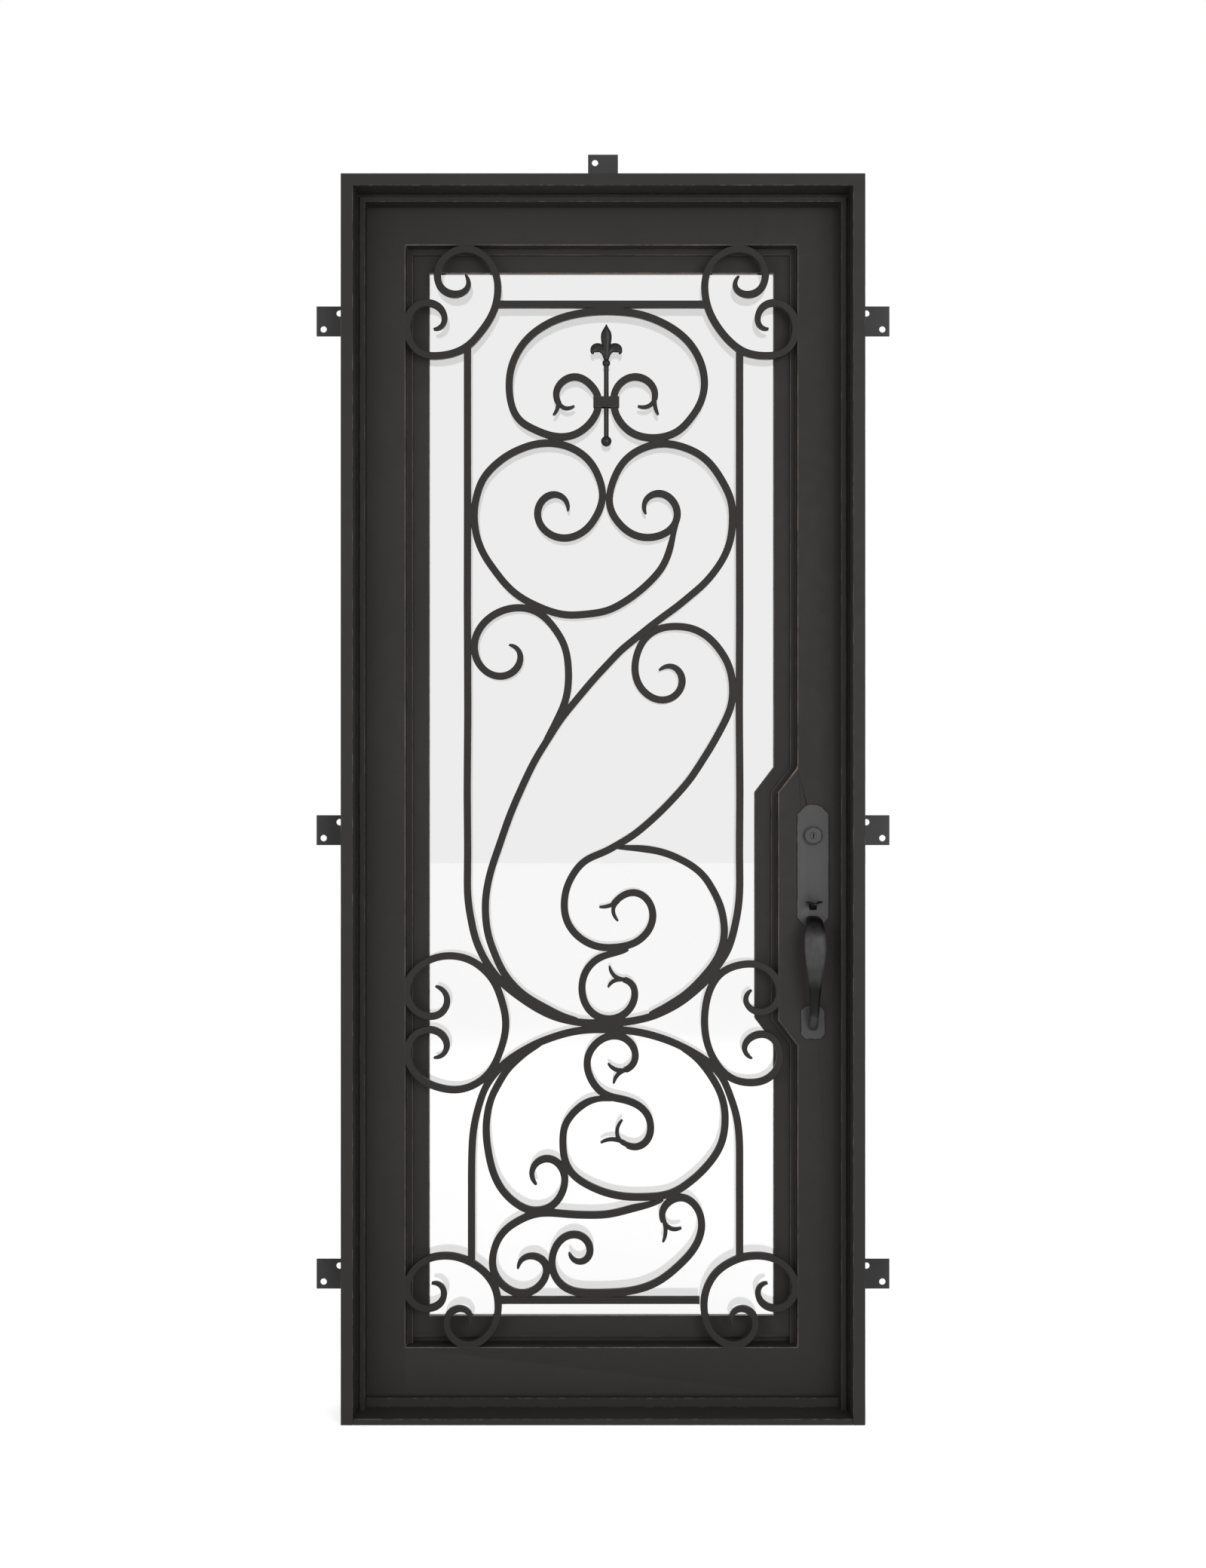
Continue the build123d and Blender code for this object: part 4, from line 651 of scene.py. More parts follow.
def outward(mesh: bpy.types.Mesh) -> None:
    """Turns every face of a closed mesh outwards and shades it smooth.

    Args:
        mesh: Mesh to change.
    """
    work = bmesh.new()
    work.from_mesh(mesh)
    bmesh.ops.recalc_face_normals(work, faces=work.faces)
    for face in work.faces:
        face.smooth = True
    for edge in work.edges:
        edge.smooth = edge.calc_face_angle(0.0) < CORNER_ANGLE
    work.to_mesh(mesh)
    work.free()


def link(name: str, mesh: bpy.types.Mesh) -> bpy.types.Object:
    """Puts a mesh into the scene as an object at the origin.

    Args:
        name: Name of the object.
        mesh: Its mesh.

    Returns:
        The object.
    """
    piece = bpy.data.objects.new(name, mesh)
    bpy.context.scene.collection.objects.link(piece)
    return piece


def welded_copy(mesh: bpy.types.Mesh) -> bmesh.types.BMesh:
    """Editable copy of a mesh with its doubled points joined."""
    work = bmesh.new()
    work.from_mesh(mesh)
    bmesh.ops.remove_doubles(work, verts=work.verts, dist=WELD_DISTANCE)
    return work


def rows_of(items: bpy.types.bpy_prop_collection, key: str, width: int, kind: type = float) -> np.ndarray:
    """Values of a mesh's points, corners or faces.

    Args:
        items: The points, corners or faces.
        key: Name of the value.
        width: Numbers in a row.
        kind: Type of the numbers.

    Returns:
        The rows.
    """
    values = np.empty(len(items) * width, kind)
    items.foreach_get(key, values)
    return values.reshape(-1, width)


def merged_mesh(name: str, node: bpy.types.Object) -> bpy.types.Mesh:
    """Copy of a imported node's mesh with its loose triangles joined into whole faces.

    Args:
        name: Name of the new mesh.
        node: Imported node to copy.

    Returns:
        The new mesh.
    """
    work = welded_copy(node.data)
    bmesh.ops.dissolve_limit(work, angle_limit=FLAT_ANGLE, verts=work.verts, edges=work.edges,
                             delimit={"NORMAL"})
    mesh = bpy.data.meshes.new(name)
    work.to_mesh(mesh)
    work.free()
    outward(mesh)
    return mesh


def welded_mesh(name: str, meshes: Sequence[bpy.types.Mesh]) -> bpy.types.Mesh:
    """One skin round several touching solids, with no wall left between them.

    Args:
        name: Name of the new mesh.
        meshes: Closed meshes.

    Returns:
        The joined mesh.
    """
    parts = [link(f"{name}_{index}", mesh) for index, mesh in enumerate(meshes)]
    for other in parts[1:]:
        union = parts[0].modifiers.new("union", "BOOLEAN")
        union.operation = "UNION"
        union.solver = "EXACT"
        union.object = other
    bpy.context.view_layer.update()
    graph = bpy.context.evaluated_depsgraph_get()
    joined = bpy.data.meshes.new_from_object(parts[0].evaluated_get(graph))
    for part in parts:
        bpy.data.objects.remove(part)
    work = welded_copy(joined)
    bmesh.ops.dissolve_limit(work, angle_limit=FLAT_ANGLE, verts=work.verts, edges=work.edges)
    joined.clear_geometry()
    work.to_mesh(joined)
    work.free()
    joined.name = name
    joined.materials.clear()
    outward(joined)
    return joined


@dataclass
class Piece:
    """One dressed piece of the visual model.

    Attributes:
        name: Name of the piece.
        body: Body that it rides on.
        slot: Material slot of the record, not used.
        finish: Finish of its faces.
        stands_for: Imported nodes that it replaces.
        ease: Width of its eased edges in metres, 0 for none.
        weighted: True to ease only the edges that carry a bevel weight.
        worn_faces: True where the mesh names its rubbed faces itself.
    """

    name: str
    body: Body
    slot: Slot
    finish: Finish
    stands_for: tuple[str, ...] = ()
    ease: float = 0.0
    weighted: bool = False
    worn_faces: bool = False

    def dress(self, made: bpy.types.Object) -> bpy.types.Object:
        """Gives an object its material, eased edges and body.

        Args:
            made: The object.

        Returns:
            The same object.
        """
        made.data.materials.clear()
        made.data.materials.append(finished(self.finish, False))
        if self.ease > 0.0 or self.worn_faces:
            made.data.materials.append(finished(self.finish, True))
        if self.ease > 0.0:
            bevel = made.modifiers.new("eased", "BEVEL")
            bevel.width = self.ease
            bevel.segments = EASED_STEPS
            bevel.limit_method = "WEIGHT" if self.weighted else "ANGLE"
            bevel.angle_limit = CORNER_ANGLE
            bevel.use_clamp_overlap = False
            bevel.miter_outer = "MITER_ARC"
            bevel.material = 1
            bevel.harden_normals = True
        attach(made, self.body.value)
        if self.stands_for:
            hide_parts(*self.stands_for)
        LOG.info("%s: %d faces", self.name, len(made.data.polygons))
        return made


FINISHED: dict[tuple[str, bool], bpy.types.Material] = {}


def finished(finish: Finish, worn: bool) -> bpy.types.Material:
    """The material of a finish, made once.

    Args:
        finish: Finish wanted.
        worn: True for its rubbed edge.

    Returns:
        The material.
    """
    key = (finish.name, worn)
    if key not in FINISHED:
        FINISHED[key] = finish.build(worn) if worn else finish.build()
    return FINISHED[key]


@dataclass
class EasedIron:
    """Plain iron members of the frame and the leaf, welded where the real ones are.

    Attributes:
        nodes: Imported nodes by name.
        welds: Points on the outlines of the bars that are welded to the leaf.
    """

    nodes: dict[str, bpy.types.Object]
    welds: np.ndarray = field(default_factory=lambda: np.empty((0, 2)))

    def welded(self, piece: Piece) -> bpy.types.Object:
        """Joins the nodes that a piece stands for into one eased skin.

        Args:
            piece: Description of the piece.

        Returns:
            The object.
        """
        mesh = welded_mesh(piece.name, [merged_mesh(node, self.nodes[node]) for node in piece.stands_for])
        if piece.weighted:
            self.soften(mesh)
        return piece.dress(link(piece.name, mesh))

    def soften(self, mesh: bpy.types.Mesh) -> None:
        """Marks corners for easing, less and less towards the places where bars are welded on.

        Args:
            mesh: Mesh to mark.
        """
        work = bmesh.new()
        work.from_mesh(mesh)
        corners = [edge for edge in work.edges if edge.calc_face_angle(0.0) > CORNER_ANGLE]
        front = min(vert.co.y for vert in work.verts) + 1 * MM
        for edge in [edge for edge in corners if max(vert.co.y for vert in edge.verts) < front]:
            ends = [np.array((vert.co.x, vert.co.z)) for vert in edge.verts]
            parts = max(int(np.linalg.norm(ends[1] - ends[0]) / FADE_STEP), 1)
            line = ends[0] + np.linspace(0, 1, parts + 1)[:, None] * (ends[1] - ends[0])
            if parts > 1 and nearest(line, self.welds).min() < 4 * CONTACT:
                bmesh.ops.subdivide_edges(work, edges=[edge], cuts=parts - 1)
        weight = work.edges.layers.float.new("bevel_weight_edge")
        corners = [edge for edge in work.edges if edge.calc_face_angle(0.0) > CORNER_ANGLE]
        middles = np.array([tuple((edge.verts[0].co + edge.verts[1].co) / 2) for edge in corners])
        share = np.clip((nearest(middles[:, [0, 2]], self.welds) - CONTACT) / FADE, 0.0, 1.0)
        share[middles[:, 1] > front] = 1.0
        for edge, amount in zip(corners, share.tolist()):
            edge[weight] = amount
        work.to_mesh(mesh)
        work.free()

    def eased(self, piece: Piece) -> bpy.types.Object:
        """Copies the one node that a piece stands for and eases its edges."""
        return piece.dress(link(piece.name, merged_mesh(piece.name, self.nodes[piece.stands_for[0]])))

    def build(self) -> None:
        """Builds the frame's and the leaf's members."""
        self.welded(Piece("frame_surround", Body.FRAME, Slot.FRAME, FRAME_IRON,
                          ("head_jamb", "hinge_jamb", "strike_jamb"), 1.2 * MM))
        self.welded(Piece("leaf_surround", Body.LEAF, Slot.LEAF, IRON,
                          ("hinge_stile", "lock_stile", "top_rail", "bottom_rail"), 1.6 * MM, weighted=True))
        for node, ease in (("sill", 1.6), ("door_stop", 1.0), ("sill_stop", 1.2)):
            self.eased(Piece(f"{node}_eased", Body.FRAME, Slot.FRAME, FRAME_IRON, (node,), ease * MM))
        for node, ease in (("glazing_stop", 0.8), ("glass_sash", 1.0), ("glass_bead", 0.8)):
            self.eased(Piece(f"{node}_eased", Body.LEAF, Slot.LEAF, IRON, (node,), ease * MM))
        for node in ("anchor_tabs_hinge_side", "anchor_tabs_lock_side", "anchor_tab_head"):
            self.eased(Piece(f"{node}_eased", Body.FRAME, Slot.TAB, STRAP_STEEL, (node,), 0.5 * MM))
        for node, body in (("hinge_halves_on_jamb", Body.FRAME), ("hinge_pins", Body.FRAME),
                           ("strike_plates", Body.FRAME), ("hinge_halves_on_leaf", Body.LEAF),
                           ("lock_faceplate", Body.LEAF)):
            self.eased(Piece(f"{node}_eased", body, Slot.HINGE, HINGE_STEEL, (node,), 0.4 * MM))


@dataclass
class Outline:
    """Closed loops round the face of a flat forged bar.

    Attributes:
        points: X and Z of every point, with the iron on the left of the way round.
        ahead: Index of the next point on the same loop.
        behind: Index of the point before.
        loops: Indices of each loop's points in order.
    """

    points: np.ndarray
    ahead: np.ndarray
    behind: np.ndarray
    loops: list[np.ndarray]

    @classmethod
    def of(cls, node: bpy.types.Object) -> "Outline":
        """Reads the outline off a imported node's street side and spreads its points evenly.

        Args:
            node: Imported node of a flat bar.

        Returns:
            The outline.
        """
        work = welded_copy(node.data)
        mesh = bpy.data.meshes.new("outline")
        work.to_mesh(mesh)
        work.free()
        place = rows_of(mesh.vertices, "co", 3)
        corners = rows_of(mesh.loops, "vertex_index", 1, int).reshape(-1, 3)
        corners = corners[np.ptp(place[corners][:, :, 1], axis=1) < WELD_DISTANCE]
        corners = corners[place[corners[:, 0], 1] < place[:, 1].min() + WELD_DISTANCE]
        bpy.data.meshes.remove(mesh)
        edges = np.concatenate([corners[:, [0, 1]], corners[:, [1, 2]], corners[:, [2, 0]]])
        total = len(place)
        rim = edges[~np.isin(edges[:, 1] * total + edges[:, 0], edges[:, 0] * total + edges[:, 1])]
        return cls.round(cls.follow(place[:, [0, 2]], dict(rim.tolist())))

    @staticmethod
    def follow(place: np.ndarray, after: dict[int, int]) -> list[np.ndarray]:
        """Puts the edges of a rim in order.

        Args:
            place: X and Z of the points.
            after: Next point by point.

        Returns:
            Each loop's X and Z in order.
        """
        loops = []
        while after:
            first, here = after.popitem()
            loop = [first]
            while here != first:
                loop.append(here)
                here = after.pop(here, first)
            loops.append(place[loop])
        return loops

    @classmethod
    def round(cls, loops: list[np.ndarray]) -> "Outline":
        """Spreads the points of loops evenly and numbers them.

        Args:
            loops: Each loop's X and Z in order.

        Returns:
            The outline.
        """
        even = [even_loop(loop) for loop in loops if len(loop) > 2]
        start = np.cumsum([0] + [len(loop) for loop in even])
        runs = [np.arange(low, high) for low, high in zip(start[:-1], start[1:])]
        ahead = np.concatenate([np.roll(run, -1) for run in runs])
        behind = np.concatenate([np.roll(run, 1) for run in runs])
        return cls(np.concatenate(even), ahead, behind, runs)

    def dense(self) -> np.ndarray:
        """Points at the target step or closer all the way round.

        Returns:
            X and Z of the points.
        """
        step = self.points[self.ahead] - self.points
        parts = np.maximum(np.ceil(np.linalg.norm(step, axis=1) / TARGET_STEP).astype(int), 1)
        which = np.repeat(np.arange(len(step)), parts)
        first = np.repeat(np.cumsum(parts) - parts, parts)
        share = (np.arange(len(which)) - first) / parts[which]
        return self.points[which] + share[:, None] * step[which]

    def sides(self) -> tuple[np.ndarray, np.ndarray]:
        """Outward directions square to the rim.

        Returns:
            One for each stretch from a point to the next, and one for each point, which is as long
            as an even border round a corner needs.
        """
        step = self.points[self.ahead] - self.points
        step /= np.maximum(np.linalg.norm(step, axis=1), 1e-12)[:, None]
        stretch = np.stack([step[:, 1], -step[:, 0]], axis=-1)
        before = stretch[self.behind]
        share = 1.0 + np.sum(stretch * before, axis=1)
        return stretch, (stretch + before) / np.maximum(share, 0.4)[:, None]

    def room(self, out: np.ndarray) -> np.ndarray:
        """Half thickness of the iron at each point.

        It is the radius of the largest disc that touches the rim there from inside: for another
        rim point, the squared gap divided by twice the gap's depth into the iron, and the least
        of these over all rim points that aren't right beside it.

        Args:
            out: Outward direction at each point.

        Returns:
            The radii.
        """
        gap = self.points[None] - self.points[:, None]
        square = np.sum(gap**2, axis=-1)
        way = -out / np.linalg.norm(out, axis=1)[:, None]
        depth = np.sum(gap * way[:, None], axis=-1)
        radius = square / np.maximum(2 * depth, 1e-9)
        radius[(depth <= 1e-6) | (square < (1.0 * MM) ** 2)] = np.inf
        return radius.min(axis=1)


def even_loop(loop: np.ndarray) -> np.ndarray:
    """Spreads points round a closed loop, closer together where it bends, with its corners kept.

    The loop is cut at its corners and at the ends of its long straights. Along each stretch the
    count grows with the length and with the turning.

    Args:
        loop: X and Z of the given points.

    Returns:
        X and Z of the new points.
    """
    step = np.roll(loop, -1, axis=0) - loop
    length = np.linalg.norm(step, axis=1)
    heading = np.arctan2(step[:, 1], step[:, 0])
    turn = np.abs((heading - np.roll(heading, 1) + np.pi) % (2 * np.pi) - np.pi)
    long = length > LONG_STRAIGHT
    breaks = np.flatnonzero((turn > CORNER_ANGLE) | long | np.roll(long, 1))
    breaks = breaks if len(breaks) else np.array([0])
    found = []
    for low, high in zip(breaks, np.append(breaks[1:], breaks[0] + len(loop))):
        index = np.arange(low, high + 1) % len(loop)
        stretch = loop[index]
        bend = (turn[index][1:] + turn[index][:-1]) / 2
        effort = np.concatenate([[0.0], np.cumsum(length[index[:-1]] / OUTLINE_STEP + bend / OUTLINE_TURN)])
        run = np.concatenate([[0.0], np.cumsum(length[index[:-1]])])
        count = max(int(np.ceil(effort[-1])), 1)
        at = np.interp(np.linspace(0.0, effort[-1], count + 1), effort, run)
        found.append(curve_at(stretch, at)[:-1])
    return np.concatenate(found)


def nearest(points: np.ndarray, targets: np.ndarray) -> np.ndarray:
    """Distance from each point to the nearest target.

    Args:
        points: Points.
        targets: Targets of the same dimension.

    Returns:
        The distances.
    """
    least = np.full(len(points), np.inf)
    for some in np.array_split(targets, len(targets) // 3000 + 1):
        gap = points[:, None] - some[None]
        least = np.minimum(least, np.sqrt(np.sum(gap**2, axis=-1)).min(axis=1, initial=np.inf))
    return least


@dataclass
class Scrollwork:
    """Forged bars of the grille, with rounded edges that run out where a bar is welded on.

    Attributes:
        nodes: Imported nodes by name.
        beside: Other nodes that bars are welded to.
        ease: Width of the rounded edges.
        steps: Steps across a rounded edge.
    """

    nodes: dict[str, bpy.types.Object]
    beside: tuple[str, ...] = ("hinge_stile", "lock_stile", "top_rail", "bottom_rail")
    ease: float = 1.9 * MM
    steps: int = 3

    def bars(self) -> list[str]:
        """Names of the grille's nodes, in order."""
        marks = ("scroll", "spiral", "grille_rail", "upper_bow", "lower_arch")
        return sorted(name for name in self.nodes if any(mark in name for mark in marks))

    def cap(self, outline: Outline, rim: np.ndarray, first: int, street: bool) -> list[list[int]]:
        """Fills a flat face inside the rounded rim with triangles.

        Args:
            outline: The bar's outline.
            rim: X and Z of the rim's points.
            first: Index of the rim's first point in the mesh.
            street: True for the face towards the street.

        Returns:
            The triangles.
        """
        loops = [loop.tolist() for loop in outline.loops]
        after = rim[outline.ahead]
        cross = rim[:, 0] * after[:, 1] - rim[:, 1] * after[:, 0]
        area = [cross[loop].sum() for loop in outline.loops]
        given = [loop if size > 0 else loop[::-1] for loop, size in zip(loops, area)]
        found = delaunay_2d_cdt([Vector(point) for point in rim.tolist()], [], given, 1, 1e-7)
        came = [(first + source[0]) if source else -1 for source in found[3]]
        faces = [[came[corner] for corner in face]
                 for face, inside in zip(found[2], found[5]) if len(inside) % 2]
        kept = [face if street else face[::-1] for face in faces if min(face) >= 0 and len(set(face)) == 3]
        if len(kept) < len(faces):
            LOG.warning("%d faces of a rim that crosses itself are left out", len(faces) - len(kept))
        return kept

    def forged(self, name: str, outline: Outline, others: np.ndarray,
               front: float, back: float) -> bpy.types.Mesh:
        """Builds a bar as rings of points round its outline.

        Across a rounded edge the angle t runs from 0 on the side to a right angle on the face: the
        ring lies inside the outline by w (1 - cos t) and w (1 - sin t) short of the face, where w
        is the edge's width at that point. The face's normal is the side's times cos t plus the
        face's times sin t.

        Args:
            name: Name of the mesh.
            outline: The bar's outline.
            others: Points on the outlines of everything that it may be welded to.
            front: Y of its street face.
            back: Y of its other face.

        Returns:
            The mesh, with the rounded edge's faces in the second material.
        """
        stretch, out = outline.sides()
        width = np.minimum(self.ease, EDGE_SHARE * outline.room(out))
        low, high = outline.points.min(0) - 0.02, outline.points.max(0) + 0.02
        near = others[np.all((others > low) & (others < high), axis=1)]
        if len(near):
            share = np.clip((nearest(outline.points, near) - CONTACT) / FADE, 0, 1)
            width = np.minimum(width, self.ease * share)
        width = np.maximum(width, THINNEST_EDGE)
        for _ in range(3):
            width = np.minimum(width, (width[outline.ahead] + width + width[outline.behind]) / 3)
        angle = np.linspace(0.0, np.pi / 2, self.steps + 1)
        inset, depth = 1 - np.cos(angle), 1 - np.sin(angle)
        rings, normals = [], []
        rows = list(zip(inset, depth, angle))
        for face, (share, fall, t) in [(front, row) for row in rows[::-1]] + [(back, row) for row in rows]:
            flat = outline.points - out * (width * share)[:, None]
            sign = 1.0 if face == front else -1.0
            y = face + sign * width * fall
            rings.append(np.stack([flat[:, 0], y, flat[:, 1]], axis=-1))
            normals.append((np.cos(t), -sign * np.sin(t)))
        count = len(outline.points)
        here = np.arange(count)
        total = len(rings)
        square = np.stack([here, count + here, count + outline.ahead, outline.ahead], axis=-1)
        quads = np.concatenate([ring * count + square for ring in range(total - 1)])
        smooth = np.sum(stretch * stretch[outline.behind], axis=1) > math.cos(CORNER_ANGLE)
        unit = out / np.linalg.norm(out, axis=1)[:, None]
        start = np.where(smooth[:, None], unit, stretch)
        end = np.where(smooth[outline.ahead][:, None], unit[outline.ahead], stretch)
        shade = []
        for ring in range(total - 1):
            (side, face), (next_side, next_face) = normals[ring], normals[ring + 1]
            corners = ((start, side, face), (start, next_side, next_face), (end, next_side, next_face),
                       (end, side, face))
            shade.append(np.stack([np.stack([way[:, 0] * a, np.full(count, b), way[:, 1] * a], axis=-1)
                                   for way, a, b in corners], axis=1))
        fronts = self.cap(outline, rings[0][:, [0, 2]], 0, True)
        backs = self.cap(outline, rings[-1][:, [0, 2]], (total - 1) * count, False)
        mesh = bpy.data.meshes.new(name)
        mesh.from_pydata(np.concatenate(rings).tolist(), [], quads.tolist() + fronts + backs)
        flat = np.zeros((3 * (len(fronts) + len(backs)), 3))
        flat[:3 * len(fronts), 1] = -1.0
        flat[3 * len(fronts):, 1] = 1.0
        mesh.polygons.foreach_set("use_smooth", np.ones(len(mesh.polygons), bool))
        worn = np.zeros(len(mesh.polygons), int)
        worn[:self.steps * count] = 1
        mesh.polygons.foreach_set("material_index", worn)
        mesh.normals_split_custom_set(np.concatenate([np.concatenate(shade).reshape(-1, 3), flat]).tolist())
        return mesh

    def build(self) -> np.ndarray:
        """Builds every bar of the grille.

        Returns:
            Points on the bars' outlines, where other iron may be welded on.
        """
        names = self.bars()
        outlines = {name: Outline.of(self.nodes[name]) for name in (*names, *self.beside)}
        dense = {name: outline.dense() for name, outline in outlines.items()}
        for name in names:
            others = np.concatenate([points for other, points in dense.items() if other != name])
            low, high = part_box(name)
            mesh = self.forged(f"{name}_forged", outlines[name], others, low.y, high.y)
            Piece(mesh.name, Body.LEAF, Slot.GRILLE, BAR_IRON, (name,), worn_faces=True).dress(
                link(mesh.name, mesh))
        return np.concatenate([dense[name] for name in names])


@dataclass
class Finial:
    """Turned rod with two balls, the lily above it and the collar round it.

    Attributes:
        nodes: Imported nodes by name.
        scale: Metres that the lily's unit of drawing stands for.
        sunk: How far the lily's foot lies below the upper ball's top.
    """

    nodes: dict[str, bpy.types.Object]
    scale: float = 1.5029 * MM
    sunk: float = 1.6 * MM

    def __post_init__(self) -> None:
        """Reads the rod's axis and ends from its node."""
        low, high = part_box("finial_rod")
        self.axis = middle_of("finial_rod")[:2]
        self.foot, self.tip = low.z, high.z

    def turned(self, name: str, profile: np.ndarray) -> bpy.types.Object:
        """Turns a profile about the rod's upright axis.

        Each ring is a circle: x and y are the axis plus the radius times the cosine and sine.

        Args:
            name: Name of the object.
            profile: Rows of radius and height.

        Returns:
            The object.
        """
        radius, height = profile[:, :1], profile[:, 1:]
        cos, sin = circle(40)
        return grid_object(name, self.axis[0] + radius * cos, self.axis[1] + radius * sin, height)

    def rod(self) -> None:
        """Builds the rod: a ball, a fillet, the shaft, a fillet and the small ball on top."""
        shaft, low_ball, high_ball = 4.85 * MM, 10.7 * MM, 8.0 * MM
        low, high = self.foot + low_ball, self.tip - high_ball
        around = np.linspace(-np.pi / 2 + 0.02, np.arccos(shaft / low_ball), 20)
        under = np.stack([low_ball * np.cos(around), low + low_ball * np.sin(around)], axis=-1)
        above = np.linspace(-np.arccos(shaft / high_ball), np.pi / 2 - 0.02, 20)
        top = np.stack([high_ball * np.cos(above), high + high_ball * np.sin(above)], axis=-1)
        body = np.stack([np.full(30, shaft), np.linspace(under[-1, 1], top[0, 1], 32)[1:-1]], axis=-1)
        Piece("finial_rod_turned", Body.LEAF, Slot.GRILLE, LILY_IRON_AND_THUMB_SHADE, ("finial_rod",)).dress(
            self.turned("finial_rod_turned", np.concatenate([under, body, top])))

    def blade(self) -> bpy.types.Object:
        """Builds the lily's middle petal.

        Every ring lies level: x is the half width times the cosine, and y the half depth times the
        sine raised to a power above one, which gives the petal a ridge down its front.

        Returns:
            The object.
        """
        outline = smooth_line([(0.15, 48.0), (1.5, 45.4), (3.6, 41.8), (6.3, 36.8), (7.2, 31.6), (7.1, 27.5),
                               (6.5, 23.5), (5.9, 19.0), (5.4, 13.5), (4.9, 8.5), (4.2, 4.0), (3.6, 0.6)], 56)
        half, height = outline[:, :1] * self.scale, outline[:, 1:] * self.scale
        depth = np.minimum(half * 0.85, 4.8 * MM)
        wide, deep = circle(32, (0.9, 1.7))
        return grid_object("lily_blade", self.axis[0] + half * wide, self.axis[1] + depth * deep,
                           self.tip - self.sunk + height)

    def lobe(self, side: float) -> bpy.types.Object:
        """Builds one curled side petal as a tapered tube along a curling line.

        Each ring turns with the line; its half width in the wall's plane and its half depth are
        given along the line.

        Args:
            side: 1 for the lock side and -1 for the hinge side.

        Returns:
            The object.
        """
        path = smooth_line([(1.8, 3.6, 2.4), (3.7, 9.8, 3.5), (6.6, 14.2, 5.2), (10.8, 16.3, 6.3),
                            (14.8, 15.2, 6.1), (17.4, 12.4, 4.4), (18.2, 10.0, 2.6), (17.0, 7.9, 1.0)], 44)
        half = path[:, 2:] * self.scale
        wide, deep = circle(24, (1.0, 1.2))
        flat = swept(path[:, :2] * self.scale, half * wide)
        name = f"lily_lobe_{'lock' if side > 0 else 'hinge'}_side"
        return grid_object(name, self.axis[0] + side * flat[..., 0],
                           self.axis[1] + np.minimum(half * 0.8, 4.4 * MM) * deep,
                           self.tip - self.sunk + flat[..., 1])

    def build(self) -> None:
        """Builds the finial's pieces."""
        self.rod()
        Piece("lily_blade", Body.LEAF, Slot.GRILLE, LILY_IRON_AND_THUMB_SHADE, ("finial_lily",)).dress(self.blade())
        for side in (1.0, -1.0):
            made = self.lobe(side)
            Piece(made.name, Body.LEAF, Slot.GRILLE, LILY_IRON_AND_THUMB_SHADE).dress(made)
        EasedIron(self.nodes).eased(Piece("finial_collar_eased", Body.LEAF, Slot.GRILLE, BAR_IRON,
                                          ("finial_collar",), 1.2 * MM))


